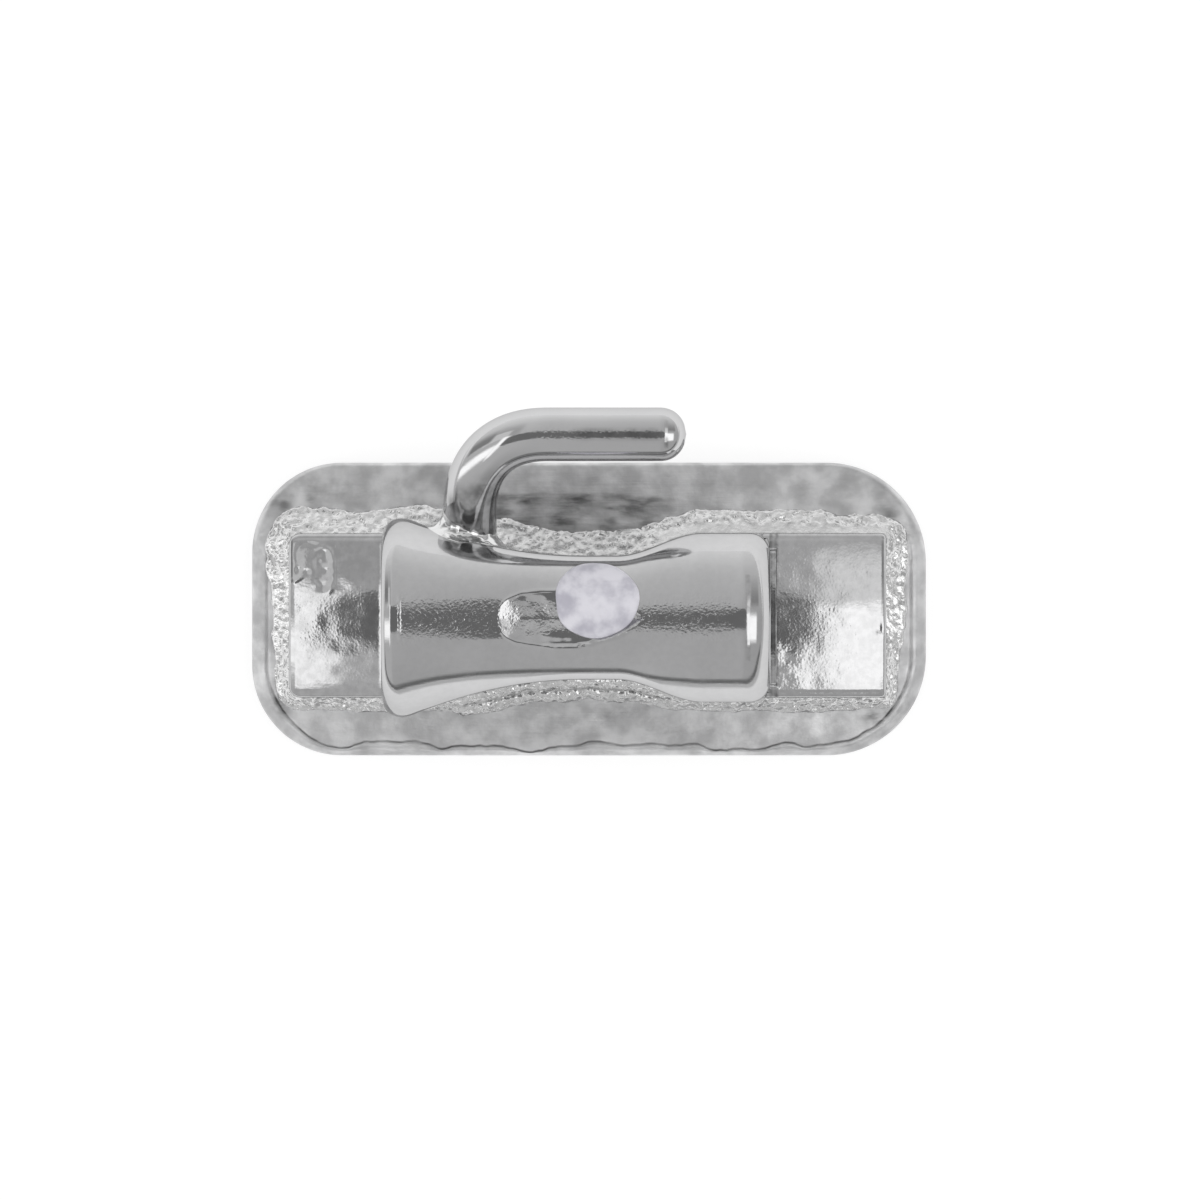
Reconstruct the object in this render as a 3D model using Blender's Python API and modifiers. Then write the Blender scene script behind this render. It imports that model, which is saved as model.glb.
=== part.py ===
"""Molar buccal tube on a woven mesh bonding pad, as a Blender model in metres.

The part is seven solids: the tube with its flange, the bent wire hook, the braze at the hook's root,
the braze round the flange, the foil of the pad, the mesh under the foil and the paint dot.
+X points to the distal end, +Y to the gum, where the hook is, and +Z to the cheek.
The origin is the middle of the pad's tooth side, on the middle knuckle of the mesh.
"""

import math

import bmesh
import bpy

# Bonding pad, seen from the cheek, and the tooth surface that it is curved to
PAD_LENGTH = 0.00707
PAD_WIDTH = 0.00307
PAD_CORNER_MESIAL = 0.00094
PAD_CORNER_DISTAL = 0.00104
TOOTH_RADIUS_LENGTHWISE = 0.014
TOOTH_RADIUS_CROSSWISE = 0.009

# Layers of the pad, from the tooth outwards
MESH_THICKNESS = 0.0002
MESH_PITCH = 0.000423
MESH_WIRE = 0.00013
MESH_WEAVE_DEPTH = 0.00006
MESH_BORDER = 0.00012
FOIL_THICKNESS = 0.00012
FOIL_RIM_WIDTH = 0.00017
FOIL_RIM_DROP = 0.00007
BRAZE_FILM = 0.00003

# Flange that carries the tube
FLANGE_LENGTH = 0.00626
FLANGE_WIDTH = 0.00172
FLANGE_THICKNESS = 0.00028
FLANGE_CROWN_RADIUS = 0.0028
FLANGE_SHIFT_X = -0.000016
FLANGE_SHIFT_Y = -0.000068
FLANGE_CORNER_MESIAL = 0.00012
FLANGE_CORNER_DISTAL = 0.00004
FLANGE_CHAMFER = 0.00003
FLANGE_LEDGE = 0.00004

# Braze fillet round the flange
BRAZE_TOE_X = 0.0002
BRAZE_TOE_GINGIVAL = 0.00028
BRAZE_TOE_OCCLUSAL = 0.00015
BRAZE_TOE_WAIST = 0.0002
BRAZE_RISE = 0.0001
BRAZE_EDGE = 0.00002

# Archwire slot
SLOT_HEIGHT = 0.000559
SLOT_DEPTH = 0.000711
SLOT_CORNER = 0.00003
FUNNEL_MOUTH_HEIGHT = 0.00104
FUNNEL_MOUTH_DEPTH = 0.00096
FUNNEL_CORNER = 0.0003
FUNNEL_LENGTH = 0.0009
EXIT_CHAMFER = 0.00005

# Tube body: half widths of its waisted outline and where along X they lie
TUBE_AXIS_Y = -0.00009
TUBE_MESIAL_X = -0.002163
TUBE_DISTAL_X = 0.001891
MESIAL_HALF_WIDTH = 0.00116
WAIST_HALF_WIDTH = 0.000645
DISTAL_HALF_WIDTH = 0.000883
WAIST_START_X = -0.000049
COLLAR_START_X = 0.00029
COLLAR_END_X = 0.00118
MESIAL_LIP_RADIUS = 0.0002
DISTAL_LIP_RADIUS = 0.00022
CROWN_FLAT_WAIST = 1.25
CROWN_FLAT_COLLAR = 1.1
CROWN_CORNER_SHARE = 0.4
SLOT_FLOOR = 0.00029
SLOT_ROOF = 0.00039
SKIRT_RISE = 0.00012
FOOT_MARGIN = 0.00005
FOOT_STEP_LENGTH = 0.000075
FOOT_STEP_HEIGHT = 0.00006
FOOT_STEP_HALF_WIDTH = 0.00074

# Boat-shaped recess in the crown of the tube, and the paint dot that partly fills it
RECESS_X = -0.000185
RECESS_SHIFT_Y = -0.000025
RECESS_HALF_LENGTH = 0.00078
RECESS_HALF_WIDTH = 0.00026
RECESS_DEPTH = 0.00016
MARK_X = 0.000094
MARK_SHIFT_Y = 0.000184
MARK_HALF_LENGTH = 0.000445
MARK_HALF_WIDTH = 0.00039
MARK_FILM = 0.00004

# Hook of bent round wire that climbs from its root to its arm, and the braze at its root
HOOK_WIRE = 0.00056
HOOK_ROOT_X = -0.001243
HOOK_ARM_Y = 0.001818
HOOK_TIP_X = 0.001013
HOOK_BEND_RADIUS = 0.000836
HOOK_BEND_SQUARENESS = 2.4
HOOK_BELOW_CROWN = 0.0003
HOOK_ROOT_RISE = 0.00041
HOOK_BRAZE_LIP = 0.00012
HOOK_BRAZE_REACH = 0.0003

# Clearances between pieces that touch
LAYER_GAP = 0.00001
SEAT_GAP = 0.00001

# Fineness of the faceted surfaces
CROWN_STEPS = 28
LIP_STEPS = 4
BODY_STEPS = 18
CORNER_STEPS = 6
LONG_SIDE_STEPS = 14
FLANGE_SIDE_STEPS = 34
SHORT_SIDE_STEPS = 4
WIRE_STEPS = 5
BEND_STEPS = 14

# Heights above the middle of the tooth side
FOIL_BOTTOM = MESH_THICKNESS + LAYER_GAP
FOIL_TOP = FOIL_BOTTOM + FOIL_THICKNESS
BRAZE_BOTTOM = FOIL_TOP + LAYER_GAP
FLANGE_BOTTOM = BRAZE_BOTTOM + BRAZE_FILM + LAYER_GAP
FLANGE_TOP = FLANGE_BOTTOM + FLANGE_THICKNESS
SLOT_BOTTOM = FLANGE_TOP + SLOT_FLOOR
SLOT_MIDDLE = SLOT_BOTTOM + SLOT_DEPTH / 2
TUBE_TOP = SLOT_BOTTOM + SLOT_DEPTH + SLOT_ROOF
HOOK_ARM_HEIGHT = TUBE_TOP - HOOK_BELOW_CROWN
HOOK_ROOT_HEIGHT = FLANGE_TOP + HOOK_ROOT_RISE


def clear_scene():
    """Remove every object of the open scene."""
    for item in list(bpy.data.objects):
        bpy.data.objects.remove(item, do_unlink=True)


def new_collection(name):
    """Make a collection in the scene and return it."""
    collection = bpy.data.collections.new(name)
    bpy.context.scene.collection.children.link(collection)
    return collection


def metal(name, colour, roughness, metallic=1.0):
    """Return a Principled material of one colour."""
    material = bpy.data.materials.new(name)
    material.use_nodes = True
    shader = material.node_tree.nodes["Principled BSDF"]
    shader.inputs["Base Color"].default_value = (*colour, 1.0)
    shader.inputs["Roughness"].default_value = roughness
    shader.inputs["Metallic"].default_value = metallic
    material.diffuse_color = (*colour, 1.0)
    return material


def add_object(name, mesh, collection, material=None, sharp_angle=32.0):
    """Link a mesh as a named object, shaded smooth apart from its sharp edges."""
    item = bpy.data.objects.new(name, mesh)
    collection.objects.link(item)
    if material:
        mesh.materials.append(material)
    mesh.shade_smooth()
    mesh.set_sharp_from_angle(angle=math.radians(sharp_angle))
    return item


def add_cutter(name, mesh, collection):
    """Link a mesh as a hidden cutter."""
    item = bpy.data.objects.new(name, mesh)
    collection.objects.link(item)
    item.hide_render = True
    item.display_type = "WIRE"
    return item


def combine(target, cutter, operation):
    """Add an exact Boolean modifier to the target."""
    modifier = target.modifiers.new(f"{operation.lower()} {cutter.name}", "BOOLEAN")
    modifier.operation = operation
    modifier.solver = "EXACT"
    modifier.object = cutter


def tooth_sag(x, y):
    """Return how far the tooth surface drops away at a point of the pad."""
    return -x * x / (2 * TOOTH_RADIUS_LENGTHWISE) - y * y / (2 * TOOTH_RADIUS_CROSSWISE)


def flange_crown(x, y):
    """Return how far the flange's face drops away from its middle."""
    across = y - TUBE_AXIS_Y
    return -x * x / (2 * TOOTH_RADIUS_LENGTHWISE) - across * across / (2 * FLANGE_CROWN_RADIUS)


def spread(start, end, steps):
    """Return evenly spaced values from start up to, and without, end."""
    return [start + (end - start) * step / steps for step in range(steps)]


def between(near, far, share):
    """Return the point that lies a share of the way from near to far."""
    return (near[0] + (far[0] - near[0]) * share, near[1] + (far[1] - near[1]) * share)


def eased(value, low, high):
    """Return a share that eases from 0 at low to 1 at high."""
    share = min(max((value - low) / (high - low), 0.0), 1.0)
    return share * share * (3 - 2 * share)


def rounded_outline(
    half_x, half_y, corner_distal, corner_mesial, centre=(0.0, 0.0), long_steps=LONG_SIDE_STEPS
):
    """Return the points of a rounded rectangle, counterclockwise from its distal middle.

    The list has as many points above the middle line as below it, so that facing points pair up.
    """
    corners = (
        (half_x - corner_distal, half_y - corner_distal, corner_distal, 0.0),
        (corner_mesial - half_x, half_y - corner_mesial, corner_mesial, 90.0),
        (corner_mesial - half_x, corner_mesial - half_y, corner_mesial, 180.0),
        (half_x - corner_distal, corner_distal - half_y, corner_distal, 270.0),
    )
    sides = (long_steps, SHORT_SIDE_STEPS, long_steps, SHORT_SIDE_STEPS)
    points = []
    for index, (x, y, radius, turn) in enumerate(corners):
        for angle in spread(math.radians(turn), math.radians(turn + 90.0), CORNER_STEPS):
            points.append((x + radius * math.cos(angle), y + radius * math.sin(angle)))
        end = math.radians(turn + 90.0)
        here = (x + radius * math.cos(end), y + radius * math.sin(end))
        next_x, next_y, next_radius, next_turn = corners[(index + 1) % 4]
        start = math.radians(next_turn)
        there = (next_x + next_radius * math.cos(start), next_y + next_radius * math.sin(start))
        points.extend(between(here, there, share) for share in spread(0.0, 1.0, sides[index]))
    half_side = SHORT_SIDE_STEPS // 2
    points = points[-half_side:] + points[:-half_side]
    return [(x + centre[0], y + centre[1]) for x, y in points]


def pad_ring(inset, height):
    """Return one ring of the pad's outline, drawn in by inset, at a height above the tooth."""
    outline = rounded_outline(
        PAD_LENGTH / 2 - inset,
        PAD_WIDTH / 2 - inset,
        max(PAD_CORNER_DISTAL - inset, PAD_WIDTH / 100),
        max(PAD_CORNER_MESIAL - inset, PAD_WIDTH / 100),
    )
    return [(x, y, height + tooth_sag(x, y)) for x, y in outline]


def follow_waist(outline, outset):
    """Return an outline kept to the tube's side, drawn out by outset, where the tube is the narrower."""
    points = []
    for x, y in outline:
        edge = tube_half_width(x) + FLANGE_LEDGE
        reach = edge + outset if outset > 0 else edge * (1 + outset / (FLANGE_WIDTH / 2))
        points.append((x, TUBE_AXIS_Y + min(max(y - TUBE_AXIS_Y, -reach), reach)))
    return points


def flange_outline(outset):
    """Return the flange's outline, drawn out by outset and drawn in at the tube's waist."""
    outline = rounded_outline(
        FLANGE_LENGTH / 2 + outset,
        FLANGE_WIDTH / 2 + outset,
        max(FLANGE_CORNER_DISTAL + outset, FLANGE_CORNER_DISTAL / 4),
        max(FLANGE_CORNER_MESIAL + outset, FLANGE_CORNER_MESIAL / 4),
        (FLANGE_SHIFT_X, FLANGE_SHIFT_Y),
        FLANGE_SIDE_STEPS,
    )
    return follow_waist(outline, outset)


def flange_ring(outset, height, surface):
    """Return one ring of the flange's outline on a surface raised by height."""
    return [(x, y, height + surface(x, y)) for x, y in flange_outline(outset)]


def skin_rings(name, rings):
    """Return a closed mesh through rings that run from its top, round its rim, to its underside."""
    work = bmesh.new()
    loops = [[work.verts.new(point) for point in ring] for ring in rings]
    count = len(rings[0])
    for upper, lower in zip(loops, loops[1:]):
        for index in range(count):
            after = (index + 1) % count
            work.faces.new((upper[index], lower[index], lower[after], upper[after]))
    for loop in (loops[0], loops[-1]):
        for index in range(count // 2 - 1):
            work.faces.new((loop[index], loop[index + 1], loop[count - 2 - index], loop[count - 1 - index]))
    return finish_mesh(name, work)


def loft(name, sections):
    """Return a closed mesh through sections of equal length, with flat ends."""
    work = bmesh.new()
    loops = [[work.verts.new(point) for point in section] for section in sections]
    count = len(sections[0])
    for near, far in zip(loops, loops[1:]):
        for index in range(count):
            after = (index + 1) % count
            work.faces.new((near[index], far[index], far[after], near[after]))
    bmesh.ops.triangulate(work, faces=work.faces, quad_method="FIXED")
    work.faces.new(loops[0])
    work.faces.new(list(reversed(loops[-1])))
    return finish_mesh(name, work)


def finish_mesh(name, work):
    """Turn a bmesh into a mesh whose faces point outwards."""
    bmesh.ops.recalc_face_normals(work, faces=work.faces)
    mesh = bpy.data.meshes.new(name)
    work.to_mesh(mesh)
    work.free()
    return mesh


def ellipsoid(name, centre, radii, segments=28):
    """Return a scaled sphere as a mesh."""
    work = bmesh.new()
    bmesh.ops.create_uvsphere(work, u_segments=segments, v_segments=segments // 2, radius=1.0)
    bmesh.ops.scale(work, vec=radii, verts=work.verts)
    bmesh.ops.translate(work, vec=centre, verts=work.verts)
    return finish_mesh(name, work)


def tube_half_width(x):
    """Return half the width of the tube's waisted outline at x, without its rounded lips."""
    if x < WAIST_START_X:
        share = (WAIST_START_X - x) / (WAIST_START_X - TUBE_MESIAL_X)
        return WAIST_HALF_WIDTH + (MESIAL_HALF_WIDTH - WAIST_HALF_WIDTH) * share * share
    collar = eased(x, COLLAR_START_X, COLLAR_END_X)
    return WAIST_HALF_WIDTH + (DISTAL_HALF_WIDTH - WAIST_HALF_WIDTH) * collar


def crown_outline(x, inset):
    """Return the crown across X, drawn in by inset: a wide arc, and a tighter one on each side.

    The points are distances from the axis with heights, from the gum side over to the other.
    """
    half = tube_half_width(x)
    flat = 1.0 + (CROWN_FLAT_WAIST - 1.0) * eased(x, TUBE_MESIAL_X, WAIST_START_X)
    flat -= (CROWN_FLAT_WAIST - CROWN_FLAT_COLLAR) * eased(x, COLLAR_START_X, COLLAR_END_X)
    wide = half * flat
    tight = half * CROWN_CORNER_SHARE
    join = math.asin(min((half - tight) / (wide - tight), 1.0))
    points = []
    for step in range(CROWN_STEPS + 1):
        turn = math.pi / 2 - math.pi * step / CROWN_STEPS
        if abs(turn) <= join:
            out = (wide - inset) * math.sin(abs(turn))
            up = (wide - inset) * math.cos(turn)
        else:
            out = half - tight + (tight - inset) * math.sin(abs(turn))
            up = (wide - tight) * math.cos(join) + (tight - inset) * math.cos(turn)
        points.append((math.copysign(out, turn), TUBE_TOP - wide + up))
    return points


def tube_stations():
    """Return pairs of x and lip inset along the tube, from its mesial to its distal end."""
    turns = [math.pi / 2 * step / LIP_STEPS for step in range(LIP_STEPS + 1)]
    mesial = [
        (TUBE_MESIAL_X + MESIAL_LIP_RADIUS * (1 - math.cos(turn)), MESIAL_LIP_RADIUS * (1 - math.sin(turn)))
        for turn in turns
    ]
    distal = [
        (TUBE_DISTAL_X - DISTAL_LIP_RADIUS * (1 - math.cos(turn)), DISTAL_LIP_RADIUS * (1 - math.sin(turn)))
        for turn in reversed(turns)
    ]
    middle = [(x, 0.0) for x in spread(mesial[-1][0], distal[0][0], BODY_STEPS)[1:]]
    return mesial + middle + distal


def tube_section(x, inset, growth):
    """Return the tube's outline across X: a crown, upright walls and a foot drawn in to the flange."""
    radius = tube_half_width(x) - inset + growth
    crown = crown_outline(x, inset - growth)
    sag = tooth_sag(x, 0.0)
    skirt = min(FLANGE_TOP + SKIRT_RISE + sag, crown[0][1] - SKIRT_RISE / 2)
    foot = (FLANGE_BOTTOM + FLANGE_TOP) / 2 + sag
    foot_half = min(radius, FLANGE_WIDTH / 2 - FOOT_MARGIN)
    walls = crown + [(-radius, skirt), (-foot_half, foot), (foot_half, foot), (radius, skirt)]
    return [(x, TUBE_AXIS_Y + y, z) for y, z in walls]


def tube_loft(name, growth=0.0):
    """Return the tube's outer form, thicker all round by growth."""
    sections = [tube_section(x, inset, growth) for x, inset in tube_stations()]
    return loft(name, sections)


def slot_section(x, height, depth, corner):
    """Return a rounded rectangle across X, round the middle of the archwire slot."""
    points = []
    middles = ((1, 1, 0.0), (-1, 1, 90.0), (-1, -1, 180.0), (1, -1, 270.0))
    for side_y, side_z, turn in middles:
        for step in range(CORNER_STEPS // 2 + 1):
            angle = math.radians(turn + 90.0 * step / (CORNER_STEPS // 2))
            y = side_y * (height / 2 - corner) + corner * math.cos(angle)
            z = side_z * (depth / 2 - corner) + corner * math.sin(angle)
            points.append((x, TUBE_AXIS_Y + y, SLOT_MIDDLE + z))
    return points


def slot_loft(name):
    """Return the space of the archwire slot, with its mesial funnel and distal chamfer."""
    overrun = MESIAL_LIP_RADIUS
    sections = [slot_section(TUBE_MESIAL_X - overrun, FUNNEL_MOUTH_HEIGHT, FUNNEL_MOUTH_DEPTH, FUNNEL_CORNER)]
    for step in range(LIP_STEPS + 1):
        share = step / LIP_STEPS
        left = (1 - share) ** 1.6
        sections.append(
            slot_section(
                TUBE_MESIAL_X + FUNNEL_LENGTH * share,
                SLOT_HEIGHT + (FUNNEL_MOUTH_HEIGHT - SLOT_HEIGHT) * left,
                SLOT_DEPTH + (FUNNEL_MOUTH_DEPTH - SLOT_DEPTH) * left,
                SLOT_CORNER + (FUNNEL_CORNER - SLOT_CORNER) * left,
            )
        )
    exit_height = SLOT_HEIGHT + 2 * EXIT_CHAMFER
    exit_depth = SLOT_DEPTH + 2 * EXIT_CHAMFER
    sections.append(slot_section(TUBE_DISTAL_X - EXIT_CHAMFER, SLOT_HEIGHT, SLOT_DEPTH, SLOT_CORNER))
    sections.append(slot_section(TUBE_DISTAL_X, exit_height, exit_depth, SLOT_CORNER))
    sections.append(slot_section(TUBE_DISTAL_X + overrun, exit_height, exit_depth, SLOT_CORNER))
    return loft(name, sections)


def recess_mesh(name, growth=0.0):
    """Return the space of the recess in the crown, larger all round by growth."""
    edge_drop = RECESS_HALF_WIDTH**2 / (2 * WAIST_HALF_WIDTH * CROWN_FLAT_WAIST)
    centre = (RECESS_X, TUBE_AXIS_Y + RECESS_SHIFT_Y, TUBE_TOP - edge_drop)
    radii = (RECESS_HALF_LENGTH + growth, RECESS_HALF_WIDTH + growth, RECESS_DEPTH - edge_drop + growth)
    return ellipsoid(name, centre, radii)


def foot_step_mesh(name):
    """Return the low step at the tube's distal foot, as a box with bevelled edges."""
    half_length = (FOOT_STEP_LENGTH + DISTAL_LIP_RADIUS) / 2
    middle_x = TUBE_DISTAL_X + FOOT_STEP_LENGTH - half_length
    sag = tooth_sag(middle_x, 0.0)
    bottom = (FLANGE_BOTTOM + FLANGE_TOP) / 2 + sag
    top = FLANGE_TOP + FOOT_STEP_HEIGHT + sag
    work = bmesh.new()
    bmesh.ops.create_cube(work, size=1.0)
    bmesh.ops.scale(work, vec=(2 * half_length, 2 * FOOT_STEP_HALF_WIDTH, top - bottom), verts=work.verts)
    bmesh.ops.translate(work, vec=(middle_x, TUBE_AXIS_Y, (top + bottom) / 2), verts=work.verts)
    bevel = min(FOOT_STEP_LENGTH, FOOT_STEP_HEIGHT) * 0.8
    bmesh.ops.bevel(work, geom=work.edges, offset=bevel, segments=3, affect="EDGES", profile=0.5)
    return finish_mesh(name, work)


def flange_mesh(name):
    """Return the flange as a plate whose underside follows the tooth and whose face is crowned."""
    insets = spread(FLANGE_WIDTH / 2 - FLANGE_CHAMFER, FLANGE_CHAMFER, 5)
    rings = [flange_ring(-inset, FLANGE_TOP, flange_crown) for inset in insets]
    rings.append(flange_ring(-FLANGE_CHAMFER, FLANGE_TOP, flange_crown))
    rings.append(flange_ring(0.0, FLANGE_TOP - FLANGE_CHAMFER, flange_crown))
    rings.append(flange_ring(0.0, FLANGE_BOTTOM, tooth_sag))
    rings.extend(flange_ring(-inset, FLANGE_BOTTOM, tooth_sag) for inset in reversed(insets))
    return skin_rings(name, rings)


def build_tube_body(parts, cutters, material):
    """Build the tube and flange, one casting with the slot and recess cut in it."""
    body = add_object("tube_body", tube_loft("tube_body"), parts, material)
    combine(body, add_cutter("flange_blank", flange_mesh("flange_blank"), cutters), "UNION")
    combine(body, add_cutter("foot_step_blank", foot_step_mesh("foot_step_blank"), cutters), "UNION")
    combine(body, add_cutter("slot_space", slot_loft("slot_space"), cutters), "DIFFERENCE")
    combine(body, add_cutter("recess_space", recess_mesh("recess_space"), cutters), "DIFFERENCE")
    return body


def build_tube_seat(cutters):
    """Build the cutter that gives hook, braze and paint their seats on the tube."""
    seat = add_cutter("tube_seat", tube_loft("tube_seat", SEAT_GAP), cutters)
    combine(seat, add_cutter("recess_seat", recess_mesh("recess_seat", -SEAT_GAP), cutters), "DIFFERENCE")
    return seat


def hook_wall_y():
    """Return where the side of the tube lies at the hook's root."""
    return TUBE_AXIS_Y + tube_half_width(HOOK_ROOT_X)


def hook_bend():
    """Return the bend in plan, from the arm to the stem: a quarter of a squarish ellipse."""
    middle_x = HOOK_ROOT_X + HOOK_BEND_RADIUS
    middle_y = HOOK_ARM_Y - HOOK_BEND_RADIUS
    power = 2 / HOOK_BEND_SQUARENESS
    points = []
    for step in range(BEND_STEPS + 1):
        turn = math.pi / 2 * step / BEND_STEPS
        left, up = math.sin(turn) ** power, max(math.cos(turn), 0.0) ** power
        points.append((middle_x - HOOK_BEND_RADIUS * left, middle_y + HOOK_BEND_RADIUS * up))
    return points


def hook_path():
    """Return points and radius shares along the hook's wire, from its root to its domed tip.

    The wire falls away from the level arm, the steeper the further it has turned to the tube.
    """
    wall_y = hook_wall_y()
    plan = hook_bend() + [(HOOK_ROOT_X, wall_y), (HOOK_ROOT_X, wall_y - HOOK_WIRE * 0.4)]
    falls = [0.0]
    for (x, y), (next_x, next_y) in zip(plan, plan[1:]):
        turned = math.atan2(abs(next_y - y), abs(next_x - x)) / (math.pi / 2)
        falls.append(falls[-1] + math.hypot(next_x - x, next_y - y) * turned**2)
    scale = (HOOK_ARM_HEIGHT - HOOK_ROOT_HEIGHT) / falls[-2]
    path = [(x, y, HOOK_ARM_HEIGHT - fall * scale, 1.0) for (x, y), fall in zip(plan, falls)]
    path.reverse()
    dome = HOOK_WIRE / 2
    for step in range(WIRE_STEPS + 1):
        turn = math.pi / 2 * step / (WIRE_STEPS + 0.3)
        tip_x = HOOK_TIP_X - dome + dome * math.sin(turn)
        path.append((tip_x, HOOK_ARM_Y, HOOK_ARM_HEIGHT, math.cos(turn)))
    return path


def hook_root_slope():
    """Return how much the wire climbs for each unit that it runs out from the tube."""
    (_, inner_y, inner_z, _), (_, outer_y, outer_z, _) = hook_path()[:2]
    return (outer_z - inner_z) / (outer_y - inner_y)


def wire_mesh(name, path, diameter):
    """Return a closed mesh of round wire along a path of x, y, z and radius share."""
    curve = bpy.data.curves.new(name, "CURVE")
    curve.dimensions = "3D"
    curve.bevel_depth = diameter / 2
    curve.bevel_resolution = WIRE_STEPS
    curve.use_fill_caps = True
    spline = curve.splines.new("POLY")
    spline.points.add(len(path) - 1)
    for point, (x, y, z, share) in zip(spline.points, path):
        point.co = (x, y, z, 1.0)
        point.radius = share
    guide = bpy.data.objects.new(name, curve)
    bpy.context.scene.collection.objects.link(guide)
    bpy.context.view_layer.update()
    mesh = bpy.data.meshes.new_from_object(guide.evaluated_get(bpy.context.evaluated_depsgraph_get()))
    bpy.data.objects.remove(guide, do_unlink=True)
    work = bmesh.new()
    work.from_mesh(mesh)
    bmesh.ops.remove_doubles(work, verts=work.verts, dist=diameter / 1000)
    bpy.data.meshes.remove(mesh)
    return finish_mesh(name, work)


def build_hook(parts, seat, material):
    """Build the hook: round wire bent once, its root fitted to the tube's side."""
    mesh = wire_mesh("hook", hook_path(), HOOK_WIRE)
    hook = add_object("hook", mesh, parts, material)
    combine(hook, seat, "DIFFERENCE")
    return hook


def build_hook_braze(parts, cutters, seat, material):
    """Build the collar of braze between the hook's root and the side of the tube."""
    across = HOOK_WIRE / 2 + HOOK_BRAZE_LIP
    upright = HOOK_WIRE / 2 * math.hypot(1.0, hook_root_slope()) + HOOK_BRAZE_LIP
    centre = (HOOK_ROOT_X, hook_wall_y(), HOOK_ROOT_HEIGHT)
    mesh = ellipsoid("hook_braze", centre, (across, HOOK_BRAZE_REACH, upright))
    collar = add_object("hook_braze", mesh, parts, material)
    wire_space = wire_mesh("wire_space", hook_path(), HOOK_WIRE + 2 * SEAT_GAP)
    combine(collar, seat, "DIFFERENCE")
    combine(collar, add_cutter("wire_space", wire_space, cutters), "DIFFERENCE")
    return collar


def build_id_mark(parts, cutters, seat, material):
    """Build the paint dot: a film over the crown that also fills its end of the recess."""
    film = add_object("id_mark", tube_loft("id_mark", MARK_FILM), parts, material)
    centre = (MARK_X, TUBE_AXIS_Y + MARK_SHIFT_Y, TUBE_TOP - MARK_HALF_WIDTH / 2)
    radii = (MARK_HALF_LENGTH, MARK_HALF_WIDTH, MARK_HALF_LENGTH)
    combine(film, add_cutter("mark_space", ellipsoid("mark_space", centre, radii), cutters), "INTERSECT")
    combine(film, seat, "DIFFERENCE")
    return film


def build_pad_braze(parts, material):
    """Build the braze: a film under the flange that rises round its edge and thins out over the foil."""
    toe_half_y = FLANGE_WIDTH / 2 + (BRAZE_TOE_GINGIVAL + BRAZE_TOE_OCCLUSAL) / 2
    toe_shift_y = FLANGE_SHIFT_Y + (BRAZE_TOE_GINGIVAL - BRAZE_TOE_OCCLUSAL) / 2
    toe = rounded_outline(
        FLANGE_LENGTH / 2 + BRAZE_TOE_X,
        toe_half_y,
        FLANGE_CORNER_DISTAL + BRAZE_TOE_X,
        FLANGE_CORNER_MESIAL + BRAZE_TOE_X,
        (FLANGE_SHIFT_X, toe_shift_y),
        FLANGE_SIDE_STEPS,
    )
    toe = follow_waist(toe, BRAZE_TOE_WAIST)
    film_top = BRAZE_BOTTOM + BRAZE_FILM
    insets = spread(FLANGE_WIDTH / 2 - FLANGE_CHAMFER, 0.0, 4)
    rings = [flange_ring(-inset, film_top, tooth_sag) for inset in insets]
    rings.append(flange_ring(SEAT_GAP, film_top, tooth_sag))
    rings.append(flange_ring(SEAT_GAP, film_top + BRAZE_RISE, tooth_sag))
    rings.append(flange_ring(SEAT_GAP + BRAZE_EDGE, film_top + BRAZE_RISE, tooth_sag))
    shoulder = flange_outline(SEAT_GAP + BRAZE_EDGE)
    for share, rise in ((0.35, 0.4), (0.7, 0.12)):
        height = film_top - BRAZE_FILM / 2 + BRAZE_RISE * rise
        points = [between(near, far, share) for near, far in zip(shoulder, toe)]
        rings.append([(x, y, height + tooth_sag(x, y)) for x, y in points])
    rings.append([(x, y, BRAZE_BOTTOM + BRAZE_FILM / 3 + tooth_sag(x, y)) for x, y in toe])
    rings.append([(x, y, BRAZE_BOTTOM + tooth_sag(x, y)) for x, y in toe])
    rings.append(flange_ring(SEAT_GAP, BRAZE_BOTTOM, tooth_sag))
    rings.extend(flange_ring(-inset, BRAZE_BOTTOM, tooth_sag) for inset in reversed(insets))
    return add_object("pad_braze", skin_rings("pad_braze", rings), parts, material)


def build_pad_foil(parts, material):
    """Build the foil: a sheet curved to the tooth with its rim rolled down over the mesh."""
    flat = spread(PAD_WIDTH / 2 * 0.98, FOIL_RIM_WIDTH, 4) + [FOIL_RIM_WIDTH]
    rings = [pad_ring(inset, FOIL_TOP) for inset in flat]
    for share in (0.66, 0.33, 0.0):
        drop = FOIL_RIM_DROP * (1 - share) ** 2
        rings.append(pad_ring(FOIL_RIM_WIDTH * share, FOIL_TOP - drop))
    rings.append(pad_ring(0.0, FOIL_BOTTOM))
    rings.extend(pad_ring(inset, FOIL_BOTTOM) for inset in reversed(flat))
    return add_object("pad_foil", skin_rings("pad_foil", rings), parts, material)


def wire_lines(half_size):
    """Return the grid lines across one side of the mesh: both edges of each wire and both ends."""
    reach = int((half_size - MESH_BORDER - MESH_WIRE / 2) / MESH_PITCH)
    lines = [-half_size]
    for index in range(-reach, reach + 1):
        lines.extend((index * MESH_PITCH - MESH_WIRE / 2, index * MESH_PITCH + MESH_WIRE / 2))
    return lines + [half_size]


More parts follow.
